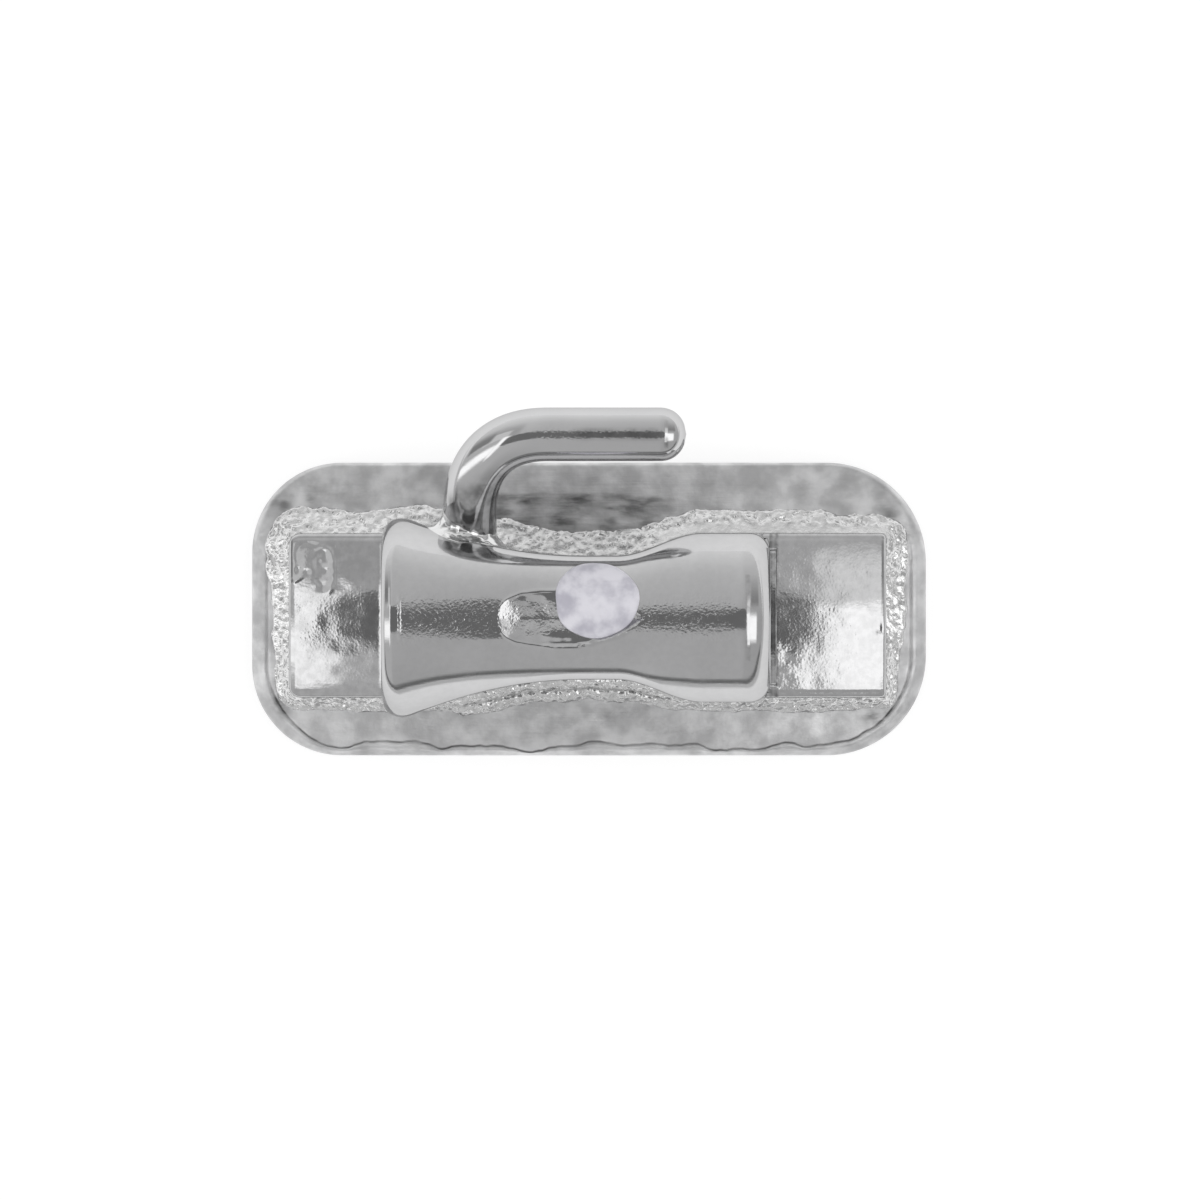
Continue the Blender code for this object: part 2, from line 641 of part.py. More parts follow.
def inside_pad(x, y, inset):
    """Tell whether a point lies inside the pad's outline drawn in by inset."""
    corner = PAD_CORNER_DISTAL if x > 0 else PAD_CORNER_MESIAL
    past_x = abs(x) - (PAD_LENGTH / 2 - corner)
    past_y = abs(y) - (PAD_WIDTH / 2 - corner)
    if past_x > 0 and past_y > 0:
        return math.hypot(past_x, past_y) < corner - inset
    return max(past_x, past_y) < corner - inset


def lattice_mesh(name):
    """Return a flat sheet with a gap between each four wires that lie inside the pad's border."""
    xs = wire_lines(PAD_LENGTH / 2 + MESH_BORDER)
    ys = wire_lines(PAD_WIDTH / 2 + MESH_BORDER)
    work = bmesh.new()
    grid = [[work.verts.new((x, y, MESH_THICKNESS)) for y in ys] for x in xs]
    for column in range(len(xs) - 1):
        for row in range(len(ys) - 1):
            corners = ((0, 0), (1, 0), (1, 1), (0, 1))
            inside = all(inside_pad(xs[column + a], ys[row + b], MESH_BORDER) for a, b in corners)
            if column % 2 == 0 and row % 2 == 0 and inside:
                continue
            work.faces.new([grid[column + a][row + b] for a, b in corners])
    mesh = bpy.data.meshes.new(name)
    work.to_mesh(mesh)
    work.free()
    return mesh


def weave_offset(x, y):
    """Return how far the mesh stands back from the tooth as its wires cross, level at its border."""
    if not inside_pad(x, y, MESH_BORDER):
        return MESH_WEAVE_DEPTH / 2
    crossing = round(x / MESH_PITCH) + round(y / MESH_PITCH)
    return MESH_WEAVE_DEPTH * (crossing % 2)


def build_pad_mesh(parts, cutters, material):
    """Build the woven mesh: one wall with a ridge for each wire, trimmed and curved to the pad."""
    sheet = add_cutter("mesh_sheet", lattice_mesh("mesh_sheet"), cutters)
    wall = sheet.modifiers.new("wall", "SOLIDIFY")
    wall.thickness = MESH_THICKNESS
    wall.offset = -1.0
    outline = rounded_outline(PAD_LENGTH / 2, PAD_WIDTH / 2, PAD_CORNER_DISTAL, PAD_CORNER_MESIAL)
    prism = loft(
        "pad_prism",
        [[(x, y, height) for x, y in outline] for height in (-MESH_THICKNESS, 2 * MESH_THICKNESS)],
    )
    combine(sheet, add_cutter("pad_prism", prism, cutters), "INTERSECT")
    bpy.context.view_layer.update()
    mesh = bpy.data.meshes.new_from_object(sheet.evaluated_get(bpy.context.evaluated_depsgraph_get()))
    bpy.data.objects.remove(sheet, do_unlink=True)
    work = bmesh.new()
    work.from_mesh(mesh)
    bpy.data.meshes.remove(mesh)
    bmesh.ops.triangulate(work, faces=work.faces)
    for vert in work.verts:
        x, y, z = vert.co
        lift = weave_offset(x, y) if z < MESH_THICKNESS / 2 else 0.0
        vert.co.z = z + lift + tooth_sag(x, y)
    return add_object("pad_mesh", finish_mesh("pad_mesh", work), parts, material, sharp_angle=20.0)


def main():
    """Build every piece and hang them all on one empty."""
    clear_scene()
    parts = new_collection("buccal_tube")
    cutters = new_collection("buccal_tube_cutters")
    steel = metal("polished_steel", (0.62, 0.62, 0.63), 0.18)
    foil = metal("pad_foil_steel", (0.56, 0.56, 0.57), 0.32)
    wire = metal("mesh_wire_steel", (0.5, 0.5, 0.51), 0.4)
    braze = metal("silver_braze", (0.66, 0.65, 0.63), 0.35)
    paint = metal("mark_paint", (0.78, 0.76, 0.84), 0.5, metallic=0.0)
    seat = build_tube_seat(cutters)
    pieces = [
        build_tube_body(parts, cutters, steel),
        build_hook(parts, seat, steel),
        build_hook_braze(parts, cutters, seat, braze),
        build_id_mark(parts, cutters, seat, paint),
        build_pad_braze(parts, braze),
        build_pad_foil(parts, foil),
        build_pad_mesh(parts, cutters, wire),
    ]
    root = bpy.data.objects.new("buccal_tube", None)
    parts.objects.link(root)
    for piece in pieces:
        piece.parent = root


main()
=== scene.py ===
"""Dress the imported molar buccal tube: polished casting, bent hook, braze, bonding pad and paint dot.

Lengths in this file are millimetres, and a finished mesh is turned to metres in one place, finish_piece.
+X is the distal end, +Y the gum side with the hook, and +Z the cheek side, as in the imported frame.
"""

import logging
import math
from dataclasses import dataclass, field
from enum import Enum

import bmesh
import bpy
import numpy as np
from mathutils import Matrix, Vector

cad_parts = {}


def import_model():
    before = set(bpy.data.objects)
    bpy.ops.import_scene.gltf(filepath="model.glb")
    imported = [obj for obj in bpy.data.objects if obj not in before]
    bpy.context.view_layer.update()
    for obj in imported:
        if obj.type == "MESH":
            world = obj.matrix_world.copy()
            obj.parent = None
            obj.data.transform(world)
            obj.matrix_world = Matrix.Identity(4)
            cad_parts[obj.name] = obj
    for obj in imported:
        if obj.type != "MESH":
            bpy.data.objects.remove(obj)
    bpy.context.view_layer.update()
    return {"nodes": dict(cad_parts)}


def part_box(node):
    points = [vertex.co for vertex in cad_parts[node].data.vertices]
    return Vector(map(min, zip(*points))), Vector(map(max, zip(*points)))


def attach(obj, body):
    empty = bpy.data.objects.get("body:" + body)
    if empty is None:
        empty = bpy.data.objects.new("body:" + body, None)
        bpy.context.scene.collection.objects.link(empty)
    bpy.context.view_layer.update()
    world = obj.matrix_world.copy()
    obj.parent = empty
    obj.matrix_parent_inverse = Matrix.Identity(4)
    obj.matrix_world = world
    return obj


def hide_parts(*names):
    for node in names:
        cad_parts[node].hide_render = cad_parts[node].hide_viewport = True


LOG = logging.getLogger("buccal_tube")
MM = 0.001
PER_METRE = 1000.0
ROOT = "root"
HOOK_WIRE = 0.56


class Slot(Enum):
    """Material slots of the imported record."""

    POLISHED = "polished_steel"
    BRAZE = "silver_braze"
    PAD = "pad_steel"
    MESH = "mesh_steel"
    PAINT = "mark_paint"


class WireRun(Enum):
    """Which way a wire of the woven mesh runs, with the side of the weave it starts on."""

    LENGTHWISE = 1.0
    CROSSWISE = -1.0


def smooth_step(values: np.ndarray, low: float, high: float) -> np.ndarray:
    """Ease from 0 at low to 1 at high.

    Args:
        values: Numbers to ease.
        low: Where the ease starts.
        high: Where it ends.

    Returns:
        An array of shares from 0 to 1.
    """
    share = np.clip((np.asarray(values, float) - low) / (high - low), 0.0, 1.0)
    return share * share * (3.0 - 2.0 * share)


@dataclass(frozen=True)
class SkinNoise:
    """Smooth random values in space, the same on each run.

    Attributes:
        cell: Size of one lump, in millimetres.
        seed: Seed of the random table.
        table_size: Lumps along one side of the table before it repeats.
    """

    cell: float
    seed: int
    table_size: int = 32

    def at(self, points: np.ndarray) -> np.ndarray:
        """Return a value from -1 to 1 for each point.

        Args:
            points: Rows of x, y and z.

        Returns:
            One value a row.
        """
        table = np.random.default_rng(self.seed).uniform(-1.0, 1.0, (self.table_size,) * 3)
        scaled = np.asarray(points, float) / self.cell
        base = np.floor(scaled).astype(int)
        part = scaled - base
        ease = part * part * (3.0 - 2.0 * part)
        total = np.zeros(len(scaled))
        for corner in np.ndindex(2, 2, 2):
            weight = np.prod(np.where(np.array(corner, bool), ease, 1.0 - ease), axis=1)
            index = (base + np.array(corner)) % self.table_size
            total += weight * table[index[:, 0], index[:, 1], index[:, 2]]
        return total


@dataclass(frozen=True)
class ToothCurve:
    """The tooth surface that the pad is curved to.

    Attributes:
        lengthwise: Radius along X.
        crosswise: Radius along Y.
    """

    lengthwise: float = 14.0
    crosswise: float = 9.0

    def sag(self, x: np.ndarray, y: np.ndarray) -> np.ndarray:
        """Return how far the surface drops away at x and y."""
        return -x * x / (2.0 * self.lengthwise) - y * y / (2.0 * self.crosswise)


@dataclass(frozen=True)
class FrameSizes:
    """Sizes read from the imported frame, in millimetres.

    Attributes:
        pad_half_length: Half the pad's length.
        pad_half_width: Half the pad's width.
        flange_mesial_x: Where the flange starts along X.
        flange_distal_x: Where it ends.
        tube_top: Height of the tube's crown.
        hook_arm_y: Where the hook's arm lies along Y.
        hook_tip_x: Where the hook's tip ends along X.
        hook_arm_z: Height of the hook's arm.
        floor: Height of the lowest point, where the part rests.
        wire: Diameter of the hook's wire.
    """

    pad_half_length: float
    pad_half_width: float
    flange_mesial_x: float
    flange_distal_x: float
    tube_top: float
    hook_arm_y: float
    hook_tip_x: float
    hook_arm_z: float
    floor: float
    wire: float = HOOK_WIRE

    @classmethod
    def read(cls) -> "FrameSizes":
        """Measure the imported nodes."""
        foil_low, foil_high = (corner * PER_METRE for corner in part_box("pad_foil"))
        tube_low, tube_high = (corner * PER_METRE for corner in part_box("tube_body"))
        _, hook_high = (corner * PER_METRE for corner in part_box("hook"))
        mesh_low, _ = (corner * PER_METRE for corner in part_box("pad_mesh"))
        return cls(
            pad_half_length=(foil_high.x - foil_low.x) / 2,
            pad_half_width=(foil_high.y - foil_low.y) / 2,
            flange_mesial_x=tube_low.x,
            flange_distal_x=tube_high.x,
            tube_top=tube_high.z,
            hook_arm_y=hook_high.y - HOOK_WIRE / 2,
            hook_tip_x=hook_high.x,
            hook_arm_z=hook_high.z - HOOK_WIRE / 2,
            floor=mesh_low.z,
        )


def strip_faces(rows: int, columns: int, closed: bool = True) -> list[tuple[int, ...]]:
    """Return the quads between rows of points.

    Args:
        rows: How many rows there are.
        columns: How many points a row has.
        closed: Whether the last point of a row joins its first.

    Returns:
        Corner numbers of each quad.
    """
    faces = []
    span = columns if closed else columns - 1
    for row in range(rows - 1):
        for column in range(span):
            near = row * columns + column
            beside = row * columns + (column + 1) % columns
            faces.append((near, near + columns, beside + columns, beside))
    return faces


def ladder_faces(start: int, count: int) -> list[tuple[int, ...]]:
    """Return quads that close a ring whose facing points pair up, from its number start on."""
    return [
        (start + index, start + index + 1, start + count - 2 - index, start + count - 1 - index)
        for index in range(count // 2 - 1)
    ]


def mesh_of(name: str, points: np.ndarray, faces: list[tuple[int, ...]]) -> bpy.types.Mesh:
    """Make a closed mesh whose faces point outwards.

    Args:
        name: Name of the mesh.
        points: Rows of x, y and z.
        faces: Corner numbers of each face.

    Returns:
        The mesh, in millimetres.
    """
    mesh = bpy.data.meshes.new(name)
    mesh.from_pydata(np.asarray(points, float).tolist(), [], faces)
    work = bmesh.new()
    work.from_mesh(mesh)
    bmesh.ops.remove_doubles(work, verts=work.verts, dist=1e-5)
    bmesh.ops.recalc_face_normals(work, faces=work.faces)
    work.to_mesh(mesh)
    work.free()
    return mesh


def bake(item: bpy.types.Object) -> bpy.types.Mesh:
    """Return an object's evaluated mesh and remove the object."""
    bpy.context.view_layer.update()
    graph = bpy.context.evaluated_depsgraph_get()
    mesh = bpy.data.meshes.new_from_object(item.evaluated_get(graph), depsgraph=graph)
    bpy.data.objects.remove(item, do_unlink=True)
    return mesh


def points_of(mesh: bpy.types.Mesh) -> np.ndarray:
    """Return a mesh's points as rows of x, y and z."""
    flat = np.empty(len(mesh.vertices) * 3)
    mesh.vertices.foreach_get("co", flat)
    return flat.reshape(-1, 3)


def mark(mesh: bpy.types.Mesh, **layers: np.ndarray) -> None:
    """Store numbers on a mesh's points, one layer a name."""
    for name, values in layers.items():
        layer = mesh.attributes.new(name, "FLOAT", "POINT")
        layer.data.foreach_set("value", np.asarray(values, np.float32))


def place(name: str, data: bpy.types.ID) -> bpy.types.Object:
    """Link a mesh or curve as an object at the origin."""
    item = bpy.data.objects.new(name, data)
    bpy.context.scene.collection.objects.link(item)
    return item


def finish_piece(
    name: str,
    mesh: bpy.types.Mesh,
    material: bpy.types.Material,
    nodes: tuple[str, ...] = (),
    sharp_angle: float = 40.0,
) -> bpy.types.Object:
    """Turn a mesh to metres, shade it, and hang it on the frame.

    Args:
        name: Name of the piece.
        mesh: Its mesh, in millimetres.
        material: Its finish.
        nodes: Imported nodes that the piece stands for.
        sharp_angle: Edges that turn more than this, in degrees, stay sharp.

    Returns:
        The finished object.
    """
    mesh.transform(Matrix.Scale(MM, 4))
    mesh.name = name
    mesh.materials.clear()
    mesh.materials.append(material)
    mesh.shade_smooth()
    mesh.set_sharp_from_angle(angle=math.radians(sharp_angle))
    item = place(name, mesh)
    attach(item, ROOT)
    if nodes:
        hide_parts(*nodes)
    LOG.info("%s: %d faces, stands for %s", name, len(mesh.polygons), ", ".join(nodes) or "nothing")
    return item


class ShaderSketch:
    """A material under construction, with short calls for its nodes."""

    def __init__(self, name: str) -> None:
        """Start a material with its Principled shader and its coordinates in millimetres."""
        self.material = bpy.data.materials.new(name)
        self.material.use_nodes = True
        self.tree = self.material.node_tree
        self.shader = self.tree.nodes["Principled BSDF"]
        source = self.tree.nodes.new("ShaderNodeTexCoord")
        mapping = self.tree.nodes.new("ShaderNodeMapping")
        mapping.inputs["Scale"].default_value = (PER_METRE,) * 3
        self.tree.links.new(source.outputs["Object"], mapping.inputs["Vector"])
        self.millimetres = mapping.outputs["Vector"]

    def stretched(self, scale: tuple[float, float, float], turn: float = 0.0) -> bpy.types.NodeSocket:
        """Return the coordinates stretched along each axis and turned about Z, in degrees."""
        node = self.tree.nodes.new("ShaderNodeMapping")
        node.inputs["Scale"].default_value = scale
        node.inputs["Rotation"].default_value = (0.0, 0.0, math.radians(turn))
        self.tree.links.new(self.millimetres, node.inputs["Vector"])
        return node.outputs["Vector"]

    def noise(
        self, scale: float, detail: float = 2.0, vector: bpy.types.NodeSocket | None = None
    ) -> bpy.types.NodeSocket:
        """Return noise with that many lumps a millimetre."""
        node = self.tree.nodes.new("ShaderNodeTexNoise")
        node.inputs["Scale"].default_value = scale
        node.inputs["Detail"].default_value = detail
        self.tree.links.new(vector or self.millimetres, node.inputs["Vector"])
        return node.outputs["Fac"]

    def cells(self, scale: float, feature: str = "SMOOTH_F1") -> bpy.types.NodeSocket:
        """Return distances to scattered points, that many a millimetre."""
        node = self.tree.nodes.new("ShaderNodeTexVoronoi")
        node.feature = feature
        node.inputs["Scale"].default_value = scale
        self.tree.links.new(self.millimetres, node.inputs["Vector"])
        return node.outputs["Distance"]

    def attribute(self, name: str) -> bpy.types.NodeSocket:
        """Return a number stored on the mesh's points."""
        node = self.tree.nodes.new("ShaderNodeAttribute")
        node.attribute_name = name
        return node.outputs["Fac"]

    def spread(
        self, value: bpy.types.NodeSocket, ends: tuple[float, float], onto: tuple[float, float]
    ) -> bpy.types.NodeSocket:
        """Carry a value from one range onto another, held at its ends."""
        node = self.tree.nodes.new("ShaderNodeMapRange")
        node.interpolation_type = "SMOOTHSTEP"
        self.tree.links.new(value, node.inputs["Value"])
        node.inputs["From Min"].default_value, node.inputs["From Max"].default_value = ends
        node.inputs["To Min"].default_value, node.inputs["To Max"].default_value = onto
        return node.outputs["Result"]

    def times(self, one: bpy.types.NodeSocket, other: bpy.types.NodeSocket | float) -> bpy.types.NodeSocket:
        """Multiply two values."""
        node = self.tree.nodes.new("ShaderNodeMath")
        node.operation = "MULTIPLY"
        self.tree.links.new(one, node.inputs[0])
        if isinstance(other, float):
            node.inputs[1].default_value = other
        else:
            self.tree.links.new(other, node.inputs[1])
        return node.outputs["Value"]

    def tint(
        self,
        share: bpy.types.NodeSocket,
        low: tuple[float, float, float],
        high: tuple[float, float, float],
    ) -> bpy.types.NodeSocket:
        """Mix two colours by a share."""
        node = self.tree.nodes.new("ShaderNodeMix")
        node.data_type = "RGBA"
        self.tree.links.new(share, node.inputs["Factor"])
        node.inputs[6].default_value = (*low, 1.0)
        node.inputs[7].default_value = (*high, 1.0)
        return node.outputs[2]

    def stained(
        self,
        colour: bpy.types.NodeSocket,
        stain: tuple[float, float, float],
        specks: float,
        stretch: tuple[float, float, float] = (1.0, 1.0, 1.0),
    ) -> bpy.types.NodeSocket:
        """Return a colour darkened where the mesh's stain-and-shade attribute says, for stains and painted shade alike,
        broken up in that many specks a millimetre.
        """
        broken = self.spread(self.noise(specks, 3.0, self.stretched(stretch)), (0.34, 0.66), (0.35, 1.0))
        node = self.tree.nodes.new("ShaderNodeMix")
        node.data_type = "RGBA"
        self.tree.links.new(self.times(self.attribute("stain"), broken), node.inputs["Factor"])
        self.tree.links.new(colour, node.inputs[6])
        node.inputs[7].default_value = (*stain, 1.0)
        return node.outputs[2]

    def bump(
        self,
        height: bpy.types.NodeSocket,
        depth: float,
        under: bpy.types.NodeSocket | None = None,
        strength: bpy.types.NodeSocket | float = 1.0,
    ) -> bpy.types.NodeSocket:
        """Return a normal bent by a height, depth millimetres from 0 to 1, on top of another."""
        node = self.tree.nodes.new("ShaderNodeBump")
        node.inputs["Distance"].default_value = depth * MM
        self.tree.links.new(height, node.inputs["Height"])
        if isinstance(strength, float):
            node.inputs["Strength"].default_value = strength
        else:
            self.tree.links.new(strength, node.inputs["Strength"])
        if under:
            self.tree.links.new(under, node.inputs["Normal"])
        return node.outputs["Normal"]

    def plug(self, name: str, value: bpy.types.NodeSocket | float | tuple[float, ...]) -> None:
        """Set or link an input of the shader."""
        if isinstance(value, bpy.types.NodeSocket):
            self.tree.links.new(value, self.shader.inputs[name])
        else:
            self.shader.inputs[name].default_value = value


@dataclass(frozen=True)
class PolishedSteel:
    """Tumble-polished stainless steel with a faintly pebbled skin.

    Attributes:
        name: Name of the material.
        dark: Colour of the duller patches.
        bright: Colour of the cleaner patches.
        stain: Colour of the painted shade in the distal corner, behind the distal lip and along the hook, and of the
            duller stained patches.
        edge_tint: How much a face seen edge on still mirrors.
        gloss: Roughness of the clean and of the dull patches.
        ripples: Coarse ripples a millimetre.
        ripple_depth: Height of a ripple.
        grains: Fine grains a millimetre.
        grain_depth: Height of a grain.
        speck_depth: Height of the round specks among the grains.
        scratch_depth: Height of the faint drawn lines.
        specks: Specks a millimetre that break up the stain and the painted shade.
    """

    name: str
    dark: tuple[float, float, float] = (0.575, 0.575, 0.58)
    bright: tuple[float, float, float] = (0.64, 0.64, 0.645)
    stain: tuple[float, float, float] = (0.14, 0.14, 0.14)
    edge_tint: tuple[float, float, float] = (0.74, 0.74, 0.74)
    gloss: tuple[float, float] = (0.05, 0.13)
    ripples: float = 10.0
    ripple_depth: float = 0.008
    grains: float = 25.0
    grain_depth: float = 0.0034
    speck_depth: float = 0.0013
    scratch_depth: float = 0.0003
    specks: float = 13.0

    def build(self) -> bpy.types.Material:
        """Return the material; the mesh attributes ripple and grain say how strong each is."""
        sketch = ShaderSketch(self.name)
        patches = sketch.noise(2.3, 4.0)
        colour = sketch.tint(patches, self.dark, self.bright)
        # Painted shade and stains: the base colour is darkened toward the stain colour where the mesh says.
        sketch.plug("Base Color", sketch.stained(colour, self.stain, self.specks))
        sketch.plug("Metallic", 1.0)
        sketch.plug("Specular Tint", (*self.edge_tint, 1.0))
        sketch.plug("Roughness", sketch.spread(sketch.noise(7.0, 5.0), (0.3, 0.75), self.gloss))
        coarse = sketch.bump(sketch.noise(self.ripples, 2.0), self.ripple_depth, strength=sketch.attribute("ripple"))
        grainy = sketch.attribute("grain")
        specks = sketch.spread(sketch.cells(self.grains, "F1"), (0.05, 0.5), (1.0, 0.0))
        rough = sketch.bump(sketch.noise(self.grains * 1.5, 3.0), self.grain_depth, coarse, grainy)
        fine = sketch.bump(specks, self.speck_depth, rough, grainy)
        streaks = sketch.noise(6.0, 3.0, sketch.stretched((0.35, 6.0, 6.0), 4.0))
        sketch.plug("Normal", sketch.bump(streaks, self.scratch_depth, fine))
        return sketch.material


@dataclass(frozen=True)
class SatinFoil:
    """Rolled stainless foil with scratches and a mottled satin skin."""

    name: str = "satin_foil"
    dark: tuple[float, float, float] = (0.54, 0.54, 0.545)
    bright: tuple[float, float, float] = (0.775, 0.775, 0.78)
    stain: tuple[float, float, float] = (0.14, 0.14, 0.14)
    gloss: tuple[float, float] = (0.4, 0.56)
    mottle: float = 9.0
    mottle_depth: float = 0.0055
    scratch_depth: float = 0.0018

    def build(self) -> bpy.types.Material:
        """Return the material."""
        sketch = ShaderSketch(self.name)
        patches = sketch.spread(sketch.noise(4.0, 6.0), (0.3, 0.7), (0.0, 1.0))
        colour = sketch.tint(patches, self.dark, self.bright)
        # Darkened where the mesh says: stains, painted shade in the crease and a painted shadow under the hook.
        sketch.plug("Base Color", sketch.stained(colour, self.stain, 12.0, (0.3, 1.0, 1.0)))
        sketch.plug("Metallic", 1.0)
        sketch.plug("Roughness", sketch.spread(sketch.noise(6.0, 4.0), (0.3, 0.7), self.gloss))
        mottled = sketch.bump(sketch.noise(self.mottle, 4.0), self.mottle_depth)
        scratches = sketch.noise(5.0, 3.0, sketch.stretched((0.3, 7.0, 7.0), 24.0))
        crossed = sketch.noise(5.0, 3.0, sketch.stretched((0.4, 8.0, 8.0), -38.0))
        scratched = sketch.bump(scratches, self.scratch_depth, mottled)
        sketch.plug("Normal", sketch.bump(crossed, self.scratch_depth * 0.6, scratched))
        return sketch.material


@dataclass(frozen=True)
class GrainyBraze:
    """Bright silver braze, frozen in small grains."""

    name: str = "grainy_braze"
    dark: tuple[float, float, float] = (0.66, 0.66, 0.66)
    bright: tuple[float, float, float] = (0.88, 0.88, 0.88)
    stain: tuple[float, float, float] = (0.16, 0.16, 0.16)
    gloss: tuple[float, float] = (0.1, 0.28)
    grains: float = 16.0
    grain_depth: float = 0.026

    def build(self) -> bpy.types.Material:
        """Return the material; the mesh attribute grain says how grainy it froze."""
        sketch = ShaderSketch(self.name)
        colour = sketch.tint(sketch.noise(9.0, 4.0), self.dark, self.bright)
        # Darkened where the mesh says: stains, and painted shade in the waist's groove and under the hook.
        sketch.plug("Base Color", sketch.stained(colour, self.stain, 18.0))
        sketch.plug("Metallic", 1.0)
        sketch.plug("Roughness", sketch.spread(sketch.noise(12.0, 3.0), (0.3, 0.7), self.gloss))
        lumps = sketch.bump(sketch.cells(self.grains), self.grain_depth, strength=sketch.attribute("grain"))
        sketch.plug("Normal", sketch.bump(sketch.noise(30.0, 3.0), self.grain_depth * 0.25, lumps))
        return sketch.material


@dataclass(frozen=True)
class WireSteel:
    """Annealed stainless wire, duller in random patches."""

    name: str = "wire_steel"
    dark: tuple[float, float, float] = (0.42, 0.42, 0.43)
    bright: tuple[float, float, float] = (0.58, 0.58, 0.59)
    gloss: tuple[float, float] = (0.28, 0.45)

    def build(self) -> bpy.types.Material:
        """Return the material."""
        sketch = ShaderSketch(self.name)
        sketch.plug("Base Color", sketch.tint(sketch.noise(7.0, 4.0), self.dark, self.bright))
        sketch.plug("Metallic", 1.0)
        sketch.plug("Roughness", sketch.spread(sketch.noise(14.0, 3.0), (0.3, 0.7), self.gloss))
        sketch.plug("Normal", sketch.bump(sketch.noise(45.0, 2.0), 0.0006))
        return sketch.material


@dataclass(frozen=True)
class EnamelPaint:
    """Opaque pale paint, slightly uneven, with a soft gloss."""

    name: str = "enamel_paint"
    thin: tuple[float, float, float] = (0.48, 0.47, 0.535)
    thick: tuple[float, float, float] = (0.76, 0.75, 0.805)
    gloss: tuple[float, float] = (0.3, 0.5)

    def build(self) -> bpy.types.Material:
        """Return the material."""
        sketch = ShaderSketch(self.name)
        patches = sketch.spread(sketch.noise(4.0, 6.0), (0.3, 0.62), (0.0, 1.0))
        sketch.plug("Base Color", sketch.tint(patches, self.thin, self.thick))
        sketch.plug("Metallic", 0.0)
        sketch.plug("Roughness", sketch.spread(sketch.noise(8.0, 3.0), (0.3, 0.7), self.gloss))
        dimples = sketch.bump(sketch.noise(11.0, 3.0), 0.009)
        sketch.plug("Normal", sketch.bump(sketch.noise(40.0, 2.0), 0.0008, dimples))
        return sketch.material


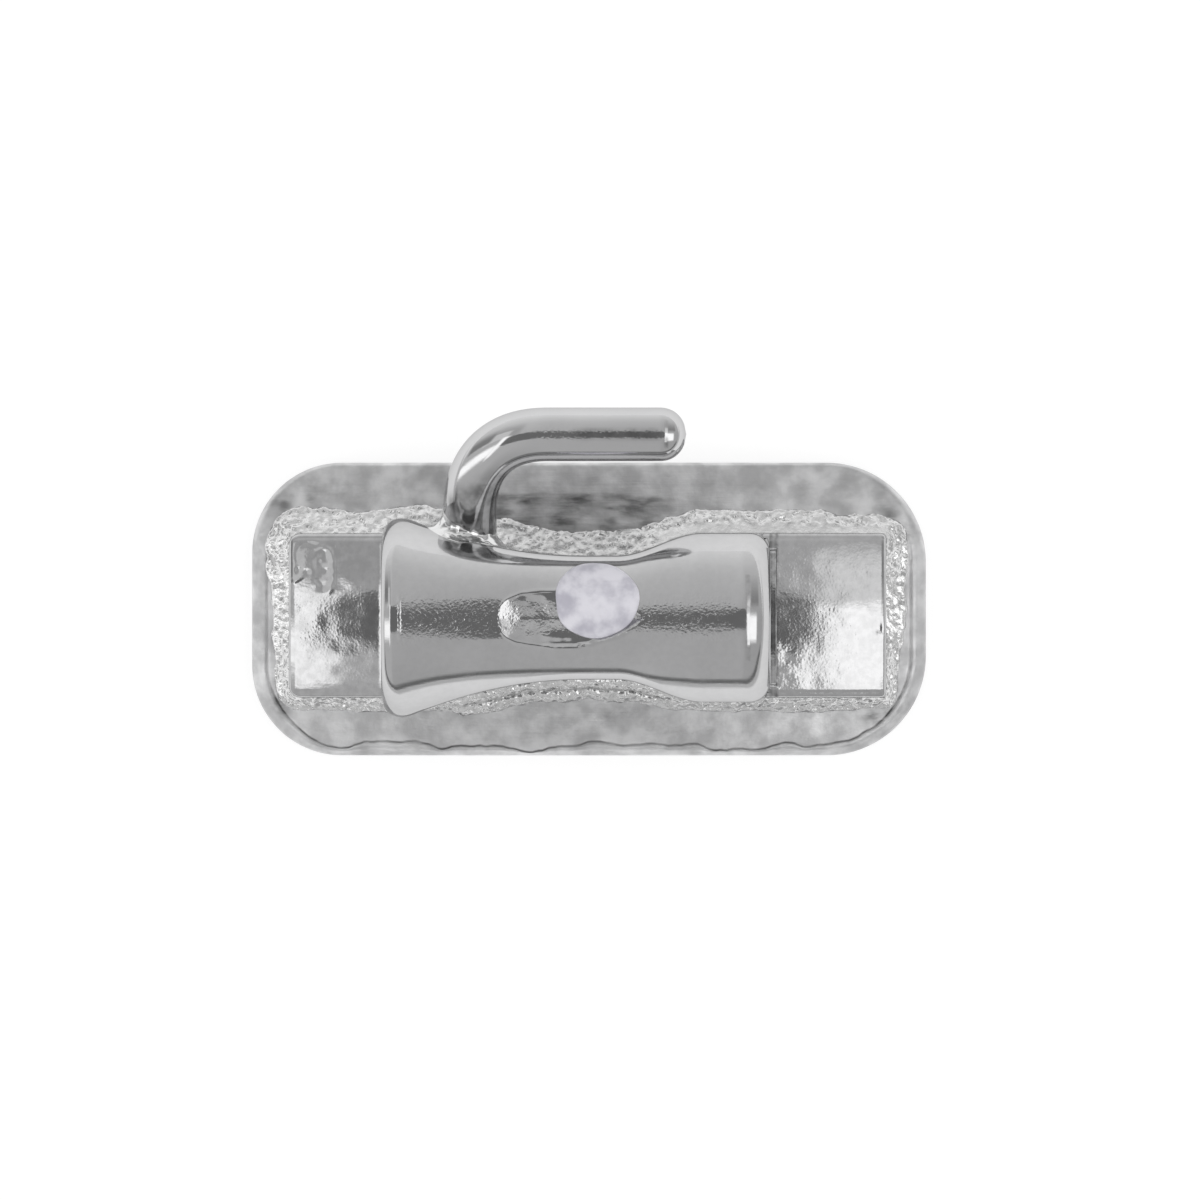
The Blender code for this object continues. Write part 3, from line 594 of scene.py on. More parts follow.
@dataclass
class TubeBody:
    """The casting: a waisted tube on its flange, with the archwire slot and the recess.

    Attributes:
        sizes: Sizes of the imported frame.
        curve: The tooth surface.
    """

    sizes: FrameSizes
    curve: ToothCurve
    axis_y: float = -0.09
    mesial_x: float = -2.163
    distal_x: float = 1.891
    mesial_half: float = 1.16
    waist_half: float = 0.645
    distal_half: float = 0.883
    waist_start: float = -0.049
    collar_start: float = 0.29
    collar_end: float = 1.18
    mesial_lip: float = 0.34
    distal_lip: float = 0.22
    mesial_crown_lip: float = 0.12
    distal_crown_lip: float = 0.3
    flange_bottom: float = 0.38
    flange_top: float = 0.66
    flange_crown_radius: float = 2.8
    flange_middle_y: float = -0.068
    flange_half: float = 0.86
    flange_chamfer: float = 0.05
    edge_band: float = 0.09
    edge_slope: float = 0.24
    fillet: float = 0.07
    foot: float = 0.004
    overhang: float = 0.14
    corner_share: float = 0.4
    step_length: float = 0.075
    step_height: float = 0.06
    slot_height: float = 0.559
    slot_depth: float = 0.711
    slot_roof: float = 0.39
    mouth: float = 1.04
    mouth_depth: float = 0.96
    funnel_length: float = 0.9
    exit_chamfer: float = 0.05
    recess_x: float = -0.25
    recess_y: float = -0.098
    recess_left: float = 0.685
    recess_right: float = 0.79
    recess_half_width: float = 0.285
    recess_depth: float = 0.08
    crown_steps: int = 156
    wall_steps: int = 9
    fillet_steps: int = 6
    land_steps: int = 14
    bottom_steps: int = 16

    def half_width(self, x: np.ndarray) -> np.ndarray:
        """Return half the width of the waisted outline at x."""
        toward_mouth = np.clip((self.waist_start - x) / (self.waist_start - self.mesial_x), 0.0, 1.1)
        flare = (self.mesial_half - self.waist_half) * toward_mouth**2
        collar = (self.distal_half - self.waist_half) * smooth_step(x, self.collar_start, self.collar_end)
        return self.waist_half + flare + collar

    def land(self, x: np.ndarray, y: np.ndarray) -> np.ndarray:
        """Return the height of the flange's face at x and y."""
        across = y - self.axis_y
        drop = x * x / (2 * self.curve.lengthwise) + across * across / (2 * self.flange_crown_radius)
        past = np.clip(np.abs(y - self.flange_middle_y) - self.flange_half + self.edge_band, 0.0, None)
        return self.flange_top - drop - self.edge_slope * past * past / (past + 0.03)

    def polish(self, x: np.ndarray, y: np.ndarray) -> np.ndarray:
        """Return how far the crown is polished down at x and y: dished by the recess, ridged toward the collar."""
        across = y - self.axis_y
        by_recess = smooth_step(x, -2.0, -1.0) * (1.0 - smooth_step(x, -0.75, -0.2))
        toward_collar = smooth_step(x, 0.3, 0.6) * (1.0 - smooth_step(x, 1.5, 1.75))
        dish = 0.038 * np.clip(1.0 - (across / 0.45) ** 2, 0.0, 1.0) ** 2 * by_recess
        beside = 1.0 - smooth_step(np.abs(across), 0.35, 0.7)
        ridge = 0.008 * (1.0 - np.exp(-((across / 0.25) ** 2))) * beside * toward_collar
        return dish + ridge

    def flatness(self, x: np.ndarray) -> np.ndarray:
        """Return the crown's radius at x as a share of the half width: round at the mouth, flatter behind."""
        return 1.0 + 0.25 * smooth_step(x, -1.9, -0.1) - 0.15 * smooth_step(x, 0.5, 1.1)

    def lip_inset(self, x: float, turns: np.ndarray) -> np.ndarray:
        """Return how far the lips draw the outline in at x: tight on the mesial crown, broad at its sides."""
        aside = smooth_step(turns, 0.5, 1.4)
        ends = (
            (x - self.mesial_x, self.mesial_crown_lip, self.mesial_lip),
            (self.distal_x - x, self.distal_crown_lip, self.distal_lip),
        )
        total = np.zeros(np.shape(turns))
        for gap, on_crown, at_side in ends:
            radius = on_crown + (at_side - on_crown) * aside
            into = np.clip(1.0 - gap / radius, 0.0, 1.0)
            total = total + radius * (1.0 - np.sqrt(1.0 - into**2))
        return total

    def arch(self, x: float, turns: np.ndarray) -> tuple[np.ndarray, np.ndarray]:
        """Return the crown's outline at x: a wide arc in the middle and a tighter one on each side.

        Args:
            x: Where the section lies.
            turns: Slope angles, from 0 on the middle line to a quarter turn on the side.

        Returns:
            Distances from the axis, and heights.
        """
        bead = float(self.lip_bead(np.array(x))) * (1.0 - smooth_step(turns, 0.1, 0.26))
        inset = self.lip_inset(x, turns) - bead
        half = float(self.half_width(np.array(x)))
        wide = half * float(self.flatness(np.array(x)))
        tight = half * self.corner_share
        join = math.asin(min((half - tight) / (wide - tight), 1.0))
        middle = self.sizes.tube_top - wide
        in_middle = turns <= join
        out = np.where(in_middle, (wide - inset) * np.sin(turns), half - tight + (tight - inset) * np.sin(turns))
        side = (wide - tight) * math.cos(join) + (tight - inset) * np.cos(turns)
        return out, middle + np.where(in_middle, (wide - inset) * np.cos(turns), side)

    def crown(self, x: np.ndarray, y: np.ndarray) -> np.ndarray:
        """Return the height of the tube's crown at x and y, without the recess."""
        half = self.half_width(x)
        wide, tight = half * self.flatness(x), half * self.corner_share
        across = np.clip(np.abs(y - self.axis_y), 0.0, half)
        join = np.arcsin(np.minimum((half - tight) / (wide - tight), 1.0))
        side = np.clip((across - half + tight) / tight, 0.0, 1.0)
        outer = (wide - tight) * np.cos(join) + tight * np.sqrt(1.0 - side**2)
        inner = np.sqrt(np.clip(wide**2 - across**2, 0.0, None))
        arc = np.where(across <= wide * np.sin(join), inner, outer)
        return self.sizes.tube_top - wide + arc - self.polish(x, y)

    def recess(self, x: np.ndarray, y: np.ndarray) -> np.ndarray:
        """Return the depth of the scooped recess at x and y, with the burr that the cutter threw up round it."""
        left = np.clip((self.recess_x - x) / self.recess_left, 0.0, 1.0)
        right = np.clip((x - self.recess_x) / self.recess_right, 0.0, 1.0)
        bow = (1.0 - left**2.9) ** (1 / 2.9) * (1.0 - right**1.7) ** 0.7
        points = np.stack([x, y, np.zeros(len(x))], axis=1)
        ragged = 0.006 * SkinNoise(0.07, 15).at(points)
        half = self.recess_half_width * bow + ragged * (bow > 0.0)
        across = np.abs(y - self.recess_y)
        inside = np.clip(1.0 - (across / np.maximum(half, 1e-6)) ** 1.4, 0.0, 1.0) * (bow > 0.0)
        scoop = self.recess_depth * inside * (1.0 - 0.8 * left**2.5) * (1.0 - 0.5 * right**2)
        tool = 0.004 * SkinNoise(0.1, 16).at(points) * smooth_step(inside, 0.0, 0.5)
        off_rim = np.where(bow > 0.0, across - half - 0.012, np.hypot(across, x - self.recess_x + self.recess_left))
        below = smooth_step(self.recess_y - y, 0.0, 0.15) * smooth_step(x, -0.55, -0.35)
        burr = (0.005 + 0.009 * below) * np.exp(-((off_rim / 0.014) ** 2)) * (1.0 - smooth_step(x, 0.3, 0.5))
        return scoop + tool - burr

    def lip_bead(self, x: np.ndarray) -> np.ndarray:
        """Return the faint bead that stands round each end just behind its lip."""
        mesial = np.exp(-(((x - self.mesial_x - 0.19) / 0.018) ** 2))
        distal = np.exp(-(((self.distal_x - self.distal_crown_lip - 0.04 - x) / 0.03) ** 2))
        return 0.0048 * mesial + 0.0015 * distal

    def stations(self) -> list[tuple[float, bool]]:
        """Return each x, with whether the tube stands up there, from one end of the flange to the other."""
        first, last = self.sizes.flange_mesial_x, self.sizes.flange_distal_x
        edge = self.flange_chamfer * (1.0 - np.cos(np.linspace(0.0, math.pi / 2, 7)))
        foot = self.foot * np.array([1.0, 0.6, 0.3, 0.1, 0.0])
        before = [first + edge, np.linspace(first + 0.07, self.mesial_x - 0.05, 34), self.mesial_x - foot]
        turns = np.linspace(0.0, math.pi / 2, 20)
        mesial = np.concatenate([
            self.mesial_x + self.mesial_crown_lip * (1.0 - np.cos(turns)),
            np.linspace(self.mesial_x + 0.13, self.mesial_x + 0.25, 20),
            np.linspace(self.mesial_x + 0.26, self.mesial_x + self.mesial_lip, 6),
        ])
        distal = self.distal_x - self.distal_crown_lip * (1.0 - np.cos(turns[::-1]))
        recess = (self.recess_x - self.recess_left - 0.03, self.recess_x - 0.1)
        body = [
            np.linspace(mesial[-1], recess[0], 40)[1:],
            np.linspace(*recess, 56)[1:],
            np.linspace(recess[1], distal[0], 80)[1:-1],
        ]
        step = self.step_length * np.array([0.0, 0.15, 0.5, 0.8, 0.88, 0.93, 0.97, 1.0])
        after = [self.distal_x + step, np.linspace(self.distal_x + 0.1, last - 0.07, 40), last - edge[::-1]]
        rows = [(float(x), False) for x in np.concatenate(before)]
        rows += [(float(x), True) for x in np.concatenate([mesial, *body, distal])]
        return rows + [(float(x), False) for x in np.concatenate(after)]

    def toe(self, radius: float, edge: float, x: float) -> tuple[float, float]:
        """Return where the tube's side meets the flange: distance from the axis, and height above the land."""
        past = (radius + self.fillet - edge) / self.fillet
        over = float(smooth_step(np.array(past), 0.0, 1.0))
        return (radius + self.fillet) * (1 - over) + (radius - 0.02) * over, self.overhang * over

    def foot_rise(self, x: float) -> float:
        """Return how high the foot of an end wall stands over the flange at x."""
        before = self.mesial_x - x
        if 0.0 <= before <= self.foot:
            return self.foot - math.sqrt(max(self.foot**2 - (self.foot - before) ** 2, 0.0))
        after = x - self.distal_x
        if 0.0 <= after <= self.step_length:
            flat = self.step_length * 0.8
            share = max((after - flat) / (self.step_length - flat), 0.0)
            return (self.step_height + after * x / self.curve.lengthwise) * math.sqrt(max(1.0 - share**2, 0.0))
        return 0.0

    def end_drop(self, x: float) -> float:
        """Return how far the flange's rounded end edges lie under its face at x."""
        gap = min(x - self.sizes.flange_mesial_x, self.sizes.flange_distal_x - x)
        into = max(self.flange_chamfer - gap, 0.0)
        return self.flange_chamfer - math.sqrt(max(self.flange_chamfer**2 - into**2, 0.0))

    def edge_distance(self, x: float, side: float) -> float:
        """Return how far the flange's edge lies from the tube's axis on one side, rounded at its corners."""
        full = self.flange_half + side * (self.flange_middle_y - self.axis_y)
        if self.mesial_x < x < self.distal_x:
            return min(full, float(self.half_width(np.array(x))))
        near_mesial = x - self.sizes.flange_mesial_x
        near_distal = self.sizes.flange_distal_x - x
        radius, gap = (0.12, near_mesial) if near_mesial < near_distal else (0.045, near_distal)
        if gap >= radius:
            return full
        return full - radius + math.sqrt(max(radius**2 - (radius - gap) ** 2, 0.0))

    def side_points(self, x: float, stands: bool, side: float) -> tuple[list, list, list]:
        """Return the land, then the fillet and wall, on one side, as distances from the axis and heights."""
        edge = self.edge_distance(x, side)
        along = min(max(x, self.mesial_x), self.distal_x)
        radius = float(self.half_width(np.array(along)) - self.lip_inset(along, np.array(math.pi / 2)))
        toe_out, toe_up = self.toe(radius, edge, x)
        if not stands:
            toe_out, toe_up = min(toe_out, edge - self.flange_chamfer - 0.02), 0.0
        land = []
        for share in np.linspace(0.0, 1.0, self.land_steps, endpoint=False):
            out = (edge - self.flange_chamfer) * (1 - share) + toe_out * share
            over_edge = min(out, edge)
            height = float(self.land(np.array(x), np.array(self.axis_y + side * over_edge)))
            land.append((out, height + toe_up * share**2 - self.end_drop(x)))
        base = float(self.land(np.array(x), np.array(self.axis_y + side * min(toe_out, edge)))) + toe_up
        fillet = []
        for turn in np.linspace(0.0, math.pi / 2, self.fillet_steps, endpoint=False):
            out = toe_out + (radius - toe_out) * math.sin(turn)
            fillet.append((out, base + self.fillet * (1 - math.cos(turn))))
        spring = float(self.arch(along, np.array([math.pi / 2]))[1][0])
        wall = [
            (radius, height)
            for height in np.linspace(base + self.fillet, spring, self.wall_steps, endpoint=False)
        ]
        under = float(self.curve.sag(np.array(x), np.array(self.axis_y + side * edge))) + self.flange_bottom
        rim = [(edge, under)]
        for turn in np.radians([0.0, 22.0, 45.0, 68.0]):
            drop = self.flange_chamfer * (1.0 - math.sin(turn))
            rim.append((edge - self.flange_chamfer * (1.0 - math.cos(turn)), land[0][1] - drop))
        return rim, land, fillet + wall

    def section(self, x: float, stands: bool) -> np.ndarray:
        """Return one closed outline across X: under the flange, over the land, the tube, the land.

        Args:
            x: Where the section lies.
            stands: Whether the tube stands up there, or the flange is bare.

        Returns:
            Rows of x, y and z.
        """
        gum_rim, gum_land, gum_wall = self.side_points(x, stands, 1.0)
        bite_rim, bite_land, bite_wall = self.side_points(x, stands, -1.0)
        shares = np.linspace(0.0, 1.0, self.crown_steps // 2 + 1)
        outs, heights = self.arch(x, math.pi / 2 * (0.5 * shares + 0.5 * shares**2))
        arch = list(zip(outs.tolist(), heights.tolist()))
        upper = gum_wall + arch[::-1] + [(-out, height) for out, height in arch[1:]]
        upper += [(-out, height) for out, height in reversed(bite_wall)]
        if not stands:
            gum_toe, bite_toe = gum_wall[0][0], -bite_wall[0][0]
            outs = np.linspace(gum_toe, bite_toe, len(upper))
            window = smooth_step(gum_toe - outs, 0.0, 0.06) * smooth_step(outs - bite_toe, 0.0, 0.06)
            heights = self.land(np.full(len(outs), x), self.axis_y + outs) + self.foot_rise(x) * window
            upper = list(zip(outs.tolist(), (heights - self.end_drop(x)).tolist()))
        under_y = np.linspace(-bite_rim[0][0], gum_rim[0][0], self.bottom_steps)
        under_z = self.flange_bottom + self.curve.sag(np.full(len(under_y), x), self.axis_y + under_y)
        under = list(zip(under_y.tolist(), under_z.tolist()))[1:-1]
        ring = under + gum_rim + gum_land + upper
        ring += [(-out, height) for out, height in reversed(bite_land)]
        ring += [(-out, height) for out, height in reversed(bite_rim)]
        return np.array([(x, self.axis_y + y, z) for y, z in ring])

    def wear(self, points: np.ndarray) -> np.ndarray:
        """Return how far the skin sinks at each point: cast unevenness, the dent, the hollow and the nick."""
        x, y = points[:, 0], points[:, 1]
        on_wing = 1.0 - smooth_step(x, self.mesial_x - 0.1, self.mesial_x) * (
            1.0 - smooth_step(x, self.distal_x, self.distal_x + 0.1)
        )
        uneven = 0.0022 * SkinNoise(0.34, 11).at(points) + 0.0012 * SkinNoise(0.13, 12).at(points)
        dent_x, dent_y = (x + 2.79) / 0.1, (y - 0.4) / 0.245
        dent_r = np.sqrt(np.abs(dent_x) ** 3 + np.abs(dent_y) ** 3) ** (2 / 3)
        rim = np.exp(-(((dent_r - 1.0) / 0.14) ** 2)) * smooth_step(dent_x + 0.6 * dent_y, -0.5, 0.6)
        mottled = 0.0035 * SkinNoise(0.05, 13).at(points) * (1 - smooth_step(dent_r, 0.8, 1.0))
        dent = 0.004 * (1 - smooth_step(dent_r, 0.6, 1.0)) - 0.0045 * rim + mottled
        hollow = 0.007 * np.exp(-(((x + 3.04) / 0.03) ** 2) - ((y - 0.41) / 0.035) ** 2)
        hollow += 0.006 * np.exp(-(((x + 2.957) / 0.025) ** 2) - ((y - 0.39) / 0.03) ** 2)
        corner = np.hypot(x - self.sizes.flange_mesial_x - 0.2, y - 0.57)
        hollow += 0.004 * np.exp(-(((corner - 0.12) / 0.03) ** 2)) * smooth_step(y - x, 3.45, 3.6)
        slant = (y - 0.31) - 0.62 * (x + 3.05)
        scrape = 0.005 * np.exp(-((slant / 0.018) ** 2) - ((x + 3.05) / 0.07) ** 2)
        nick = 0.012 * np.exp(-(((x - 3.04) / 0.04) ** 2) - ((y + 0.2) / 0.07) ** 2)
        return on_wing * (uneven + dent + hollow - scrape + nick)

    def slot_space(self) -> bpy.types.Object:
        """Return a cutter of the archwire slot's form, with its funnel and its exit chamfer."""
        middle = self.sizes.tube_top - self.slot_roof - self.slot_depth / 2
        rows = [(self.mesial_x - 0.2, self.mouth, self.mouth_depth, 0.3)]
        for share in np.linspace(0.0, 1.0, 15):
            left = (1 - share) ** 1.6
            height = self.slot_height + (self.mouth - self.slot_height) * left
            depth = self.slot_depth + (self.mouth_depth - self.slot_depth) * left
            rows.append((self.mesial_x + self.funnel_length * share, height, depth, 0.03 + 0.27 * left))
        wide = 2 * self.exit_chamfer
        rows.append((self.distal_x - self.exit_chamfer, self.slot_height, self.slot_depth, 0.03))
        rows.append((self.distal_x, self.slot_height + wide, self.slot_depth + wide, 0.03))
        rows.append((self.distal_x + 0.1, self.slot_height + 3 * wide, self.slot_depth + 3 * wide, 0.03))
        points = []
        for x, height, depth, corner in rows:
            for side_y, side_z, turn in ((1, 1, 0), (-1, 1, 90), (-1, -1, 180), (1, -1, 270)):
                for angle in np.radians(np.linspace(turn, turn + 90, 9)):
                    y = side_y * (height / 2 - corner) + corner * math.cos(angle)
                    z = side_z * (depth / 2 - corner) + corner * math.sin(angle)
                    points.append((x, self.axis_y + y, middle + z))
        count = len(points) // len(rows)
        faces = strip_faces(len(rows), count)
        faces += [tuple(range(count)), tuple(range(len(points) - count, len(points)))]
        return place("slot_space", mesh_of("slot_space", np.array(points), faces))

    def build(self) -> bpy.types.Mesh:
        """Return the casting's mesh, in millimetres."""
        rows = [self.section(*station) for station in self.stations()]
        count = len(rows[0])
        points = np.concatenate(rows)
        on_top = points[:, 2] > self.land(points[:, 0], points[:, 1]) - self.flange_chamfer
        polished = self.polish(points[:, 0], points[:, 1])
        on_crown = points[:, 2] > self.crown(points[:, 0], points[:, 1]) + polished - 0.02
        points[:, 2] -= np.where(on_crown, self.recess(points[:, 0], points[:, 1]) + polished, 0.0)
        points[:, 2] -= np.where(on_top & ~on_crown, self.wear(points), 0.0)
        faces = strip_faces(len(rows), count)
        faces += [tuple(range(count)), tuple(range(len(points) - count, len(points)))]
        body = place("tube_body_blank", mesh_of("tube_body_blank", points, faces))
        cutter = self.slot_space()
        cut = body.modifiers.new("slot", "BOOLEAN")
        cut.operation, cut.solver, cut.object = "DIFFERENCE", "EXACT", cutter
        mesh = bake(body)
        bpy.data.objects.remove(cutter, do_unlink=True)
        self.mark_skin(mesh)
        return mesh

    def mark_skin(self, mesh: bpy.types.Mesh) -> None:
        """Store how strong the fine grain, the coarse ripples and the stain and painted shade are at each point."""
        points = points_of(mesh)
        x, y = points[:, 0], points[:, 1]
        across = np.abs(y - self.axis_y) / self.half_width(np.clip(x, self.mesial_x, self.distal_x))
        above = points[:, 2] - self.land(x, y)
        stands = smooth_step(above, 0.03, 0.2)
        by_arch = 1.0 - smooth_step(np.abs(y - self.axis_y), 0.2, 0.45)
        in_lips = smooth_step(x, self.mesial_x + 0.12, self.mesial_x + 0.24) * (1.0 - smooth_step(x, 1.4, 1.6))
        on_crown = (1.0 - 0.97 * smooth_step(across, 0.12, 0.34)) * (0.06 + 0.94 * in_lips)
        wing = 0.07 + 0.09 * by_arch + 0.12 * (x > 0) * (1.0 - by_arch)
        fine = wing * (1 - stands) + on_crown * stands
        near_tube = 1.0 - smooth_step(x, self.distal_x + 0.2, self.distal_x + 0.5)
        low = smooth_step(-y, 0.25, 0.5)
        coarse = np.where(x < 0, 0.05, 0.06 + 0.06 * (1 - by_arch) + 0.35 * near_tube * low) * (1 - stands)
        past = x - self.distal_x
        # Painted shade: the corner at the foot of the distal wall is darkened, with a lighter streak across it.
        corner = smooth_step(past, -0.01, 0.0) * (1.0 - smooth_step(past, 0.085, 0.1)) * (above < self.step_height * 2)
        streak = np.exp(-(((past - 0.045) / 0.012) ** 2))
        dull = (0.17 + 0.06 * smooth_step(-x, 0.0, 1.0) * low) * (1 - stands) + 0.06 * stands
        off_glint = 1.0 - smooth_step(-y, 0.0, 0.08) * (1.0 - smooth_step(-y, 0.3, 0.34))
        # Painted shade: a thin band just behind the distal lip, away from its glint, is darkened to dim the lip's
        # reflection there.
        lip = 0.6 * np.exp(-(((x - self.distal_x + 0.236) / 0.018) ** 2)) * off_glint * stands * (across < 0.5)
        stain = np.maximum(corner * (0.8 - 0.5 * streak), np.maximum(dull, lip))
        mark(mesh, grain=fine, ripple=coarse, stain=stain)


def rounded_outline(
    half_x: float, half_y: float, corners: tuple[float, float], counts: tuple[int, int, int]
) -> np.ndarray:
    """Return a rounded rectangle, counterclockwise from its distal middle, with facing points paired.

    Args:
        half_x: Half its length.
        half_y: Half its width.
        corners: Radius of the distal and of the mesial corners.
        counts: Points on a corner, on a long side and on a short side.

    Returns:
        Rows of x and y.
    """
    distal, mesial = corners
    turning, along, across = counts
    centres = (
        (half_x - distal, half_y - distal, distal),
        (mesial - half_x, half_y - mesial, mesial),
        (mesial - half_x, mesial - half_y, mesial),
        (half_x - distal, distal - half_y, distal),
    )
    points: list[tuple[float, float]] = []
    for index, (x, y, radius) in enumerate(centres):
        for angle in np.linspace(index * math.pi / 2, (index + 1) * math.pi / 2, turning, endpoint=False):
            points.append((x + radius * math.cos(angle), y + radius * math.sin(angle)))
        end = (index + 1) * math.pi / 2
        here = np.array((x + radius * math.cos(end), y + radius * math.sin(end)))
        next_x, next_y, next_radius = centres[(index + 1) % 4]
        there = np.array((next_x + next_radius * math.cos(end), next_y + next_radius * math.sin(end)))
        steps = along if index % 2 == 0 else across
        for share in np.linspace(0.0, 1.0, steps, endpoint=False):
            points.append(tuple(here + (there - here) * share))
    half_side = across // 2
    return np.array(points[-half_side:] + points[:-half_side])


@dataclass
class PadFoil:
    """The pad's sheet: curved to the tooth, with a crease and a rolled rim.

    Attributes:
        sizes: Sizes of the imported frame.
        curve: The tooth surface.
    """

    sizes: FrameSizes
    curve: ToothCurve
    bottom: float = 0.21
    top: float = 0.33
    corner_distal: float = 1.04
    corner_mesial: float = 0.94
    rim_drop: float = 0.07
    counts: tuple[int, int, int] = (44, 150, 46)

    def crease_inset(self, outline: np.ndarray) -> np.ndarray:
        """Return how far inside the outline the rim's crease runs: wide at the ends, wavy on the bite side."""
        x, y = outline[:, 0], outline[:, 1]
        end = smooth_step(np.abs(x), self.sizes.pad_half_length - 0.9, self.sizes.pad_half_length - 0.1)
        wave = 0.028 * np.sin(2.6 * x + 0.6) + 0.02 * np.sin(6.1 * x + 1.9) + 0.012 * np.sin(13.0 * x)
        points = np.column_stack([outline, np.zeros(len(x))])
        wave = wave + 0.016 * SkinNoise(0.14, 25).at(points) + 0.008 * SkinNoise(0.06, 26).at(points)
        bite = 0.1 + wave * (1 - end)
        gum = np.full(len(x), 0.075)
        side = np.where(y < 0, bite, gum)
        return side * (1 - end) + 0.165 * end

    def ring(self, insets: np.ndarray) -> np.ndarray:
        """Return the outline drawn in by an inset for each of its points."""
        outer = self.outline(0.0)
        inner = self.outline(0.3)
        inward = (inner - outer) / 0.3
        return outer + inward * insets[:, None]

    def outline(self, inset: float) -> np.ndarray:
        """Return the whole outline drawn in by one inset."""
        small = self.sizes.pad_half_width / 50
        corners = (max(self.corner_distal - inset, small), max(self.corner_mesial - inset, small))
        half_x, half_y = self.sizes.pad_half_length - inset, self.sizes.pad_half_width - inset
        return rounded_outline(half_x, half_y, corners, self.counts)

    def relief(self, x: np.ndarray, y: np.ndarray) -> np.ndarray:
        """Return the sheet's unevenness: soft waves at two sizes."""
        points = np.stack([x, y, np.zeros(len(x))], axis=1)
        waves = 0.0045 * SkinNoise(0.62, 21).at(points) + 0.0028 * SkinNoise(0.21, 22).at(points)
        return waves

    def stain(self, x: np.ndarray, y: np.ndarray) -> np.ndarray:
        """Return how stained and shaded the sheet is: a streaked patch of painted shadow under the hook, stain specks
        on the gum side and in two corners.
        """
        streaked = SkinNoise(0.07, 23).at(np.stack([x * 0.3, y, np.zeros(len(x))], axis=1))
        streaked += 0.3 * SkinNoise(0.035, 27).at(np.stack([x * 0.3, y, np.zeros(len(x))], axis=1))
        blotched = SkinNoise(0.16, 24).at(np.stack([x, y, np.zeros(len(x))], axis=1))
        # Painted shadow: a streaked dark patch on the sheet under the hook's arm.
        along = smooth_step(x, -1.25, -0.85) * (1 - smooth_step(x, 0.5, 1.1))
        ragged = 1.2 + 0.05 * streaked
        patch = along * smooth_step(y, 0.6, 0.8) * (1 - smooth_step(y - ragged, -0.08, 0.04))
        streaked = smooth_step(streaked, -0.4, 0.35)
        corners = np.exp(-(((x + 3.22) / 0.1) ** 2) - ((y + 1.02) / 0.14) ** 2)
        corners += np.exp(-(((x - 2.98) / 0.16) ** 2) - ((y + 1.1) / 0.12) ** 2)
        corners += 0.9 * np.exp(-(((x + 3.1) / 0.22) ** 2) - ((y - 1.1) / 0.16) ** 2)
        corners += 0.5 * np.exp(-(((x - 3.12) / 0.14) ** 2) - ((y - 0.95) / 0.18) ** 2)
        gum = 0.16 * smooth_step(y, 0.3, 0.8)
        return np.clip(patch * (0.26 + 0.5 * streaked) + (gum + 0.85 * corners) * (0.6 + 0.9 * blotched), 0.0, 1.0)

    def build(self) -> bpy.types.Mesh:
        """Return the sheet's mesh, in millimetres."""
        crease = self.crease_inset(self.outline(0.0))
        rings, heights = [], []
        for inset in np.linspace(self.sizes.pad_half_width * 0.985, 0.34, 34):
            rings.append(self.outline(inset))
            heights.append(np.full(len(crease), self.top))
        for share in np.linspace(0.0, 1.0, 10)[1:]:
            insets = 0.34 * (1 - share) + (crease + 0.02) * share
            rings.append(self.ring(insets))
            heights.append(np.full(len(crease), self.top))
        level = smooth_step(self.outline(0.0)[:, 1], 0.3, 1.2)
        rings.append(self.ring(crease + 0.008))
        heights.append(self.top - 0.003 * (1.0 - level))
        rings.append(self.ring(crease))
        heights.append(self.top - 0.01 * (1.0 - level))
        for share in np.linspace(0.0, 1.0, 10)[1:]:
            insets = crease * (1 - share)
            rings.append(self.ring(insets))
            bulge = 0.012 * math.sin(math.pi * min(share * 1.6, 1.0))
            low = self.top - 0.008 - self.rim_drop * share**2 + bulge
            flat = self.top - self.rim_drop * share**6
            heights.append(low + (flat - low) * level)
        rings.append(self.outline(0.0))
        heights.append(np.full(len(crease), self.bottom))
        for inset in (0.1, 0.5, 1.0, self.sizes.pad_half_width * 0.985):
            rings.append(self.outline(inset))
            heights.append(np.full(len(crease), self.bottom))
        top_rings = len(rings) - 5
        rows = []
        for index, (ring, height) in enumerate(zip(rings, heights)):
            lift = self.curve.sag(ring[:, 0], ring[:, 1]) + height
            if index < top_rings:
                lift = lift + self.relief(ring[:, 0], ring[:, 1])
            rows.append(np.column_stack([ring, lift]))
        count = len(crease)
        faces = strip_faces(len(rows), count)
        faces += ladder_faces(0, count) + ladder_faces((len(rows) - 1) * count, count)
        points = np.concatenate(rows)
        stain = self.stain(points[:, 0], points[:, 1])
        # Painted shade: the rim's crease is darkened along the bite side.
        groove_shade = smooth_step(-self.outline(0.0)[:, 1], 0.6, 1.2)
        first = 43 * count
        stain[first:first + 2 * count] += 0.8 * np.tile(groove_shade, 2)
        mesh = mesh_of("pad_foil", points, faces)
        mark(mesh, stain=stain)
        return mesh


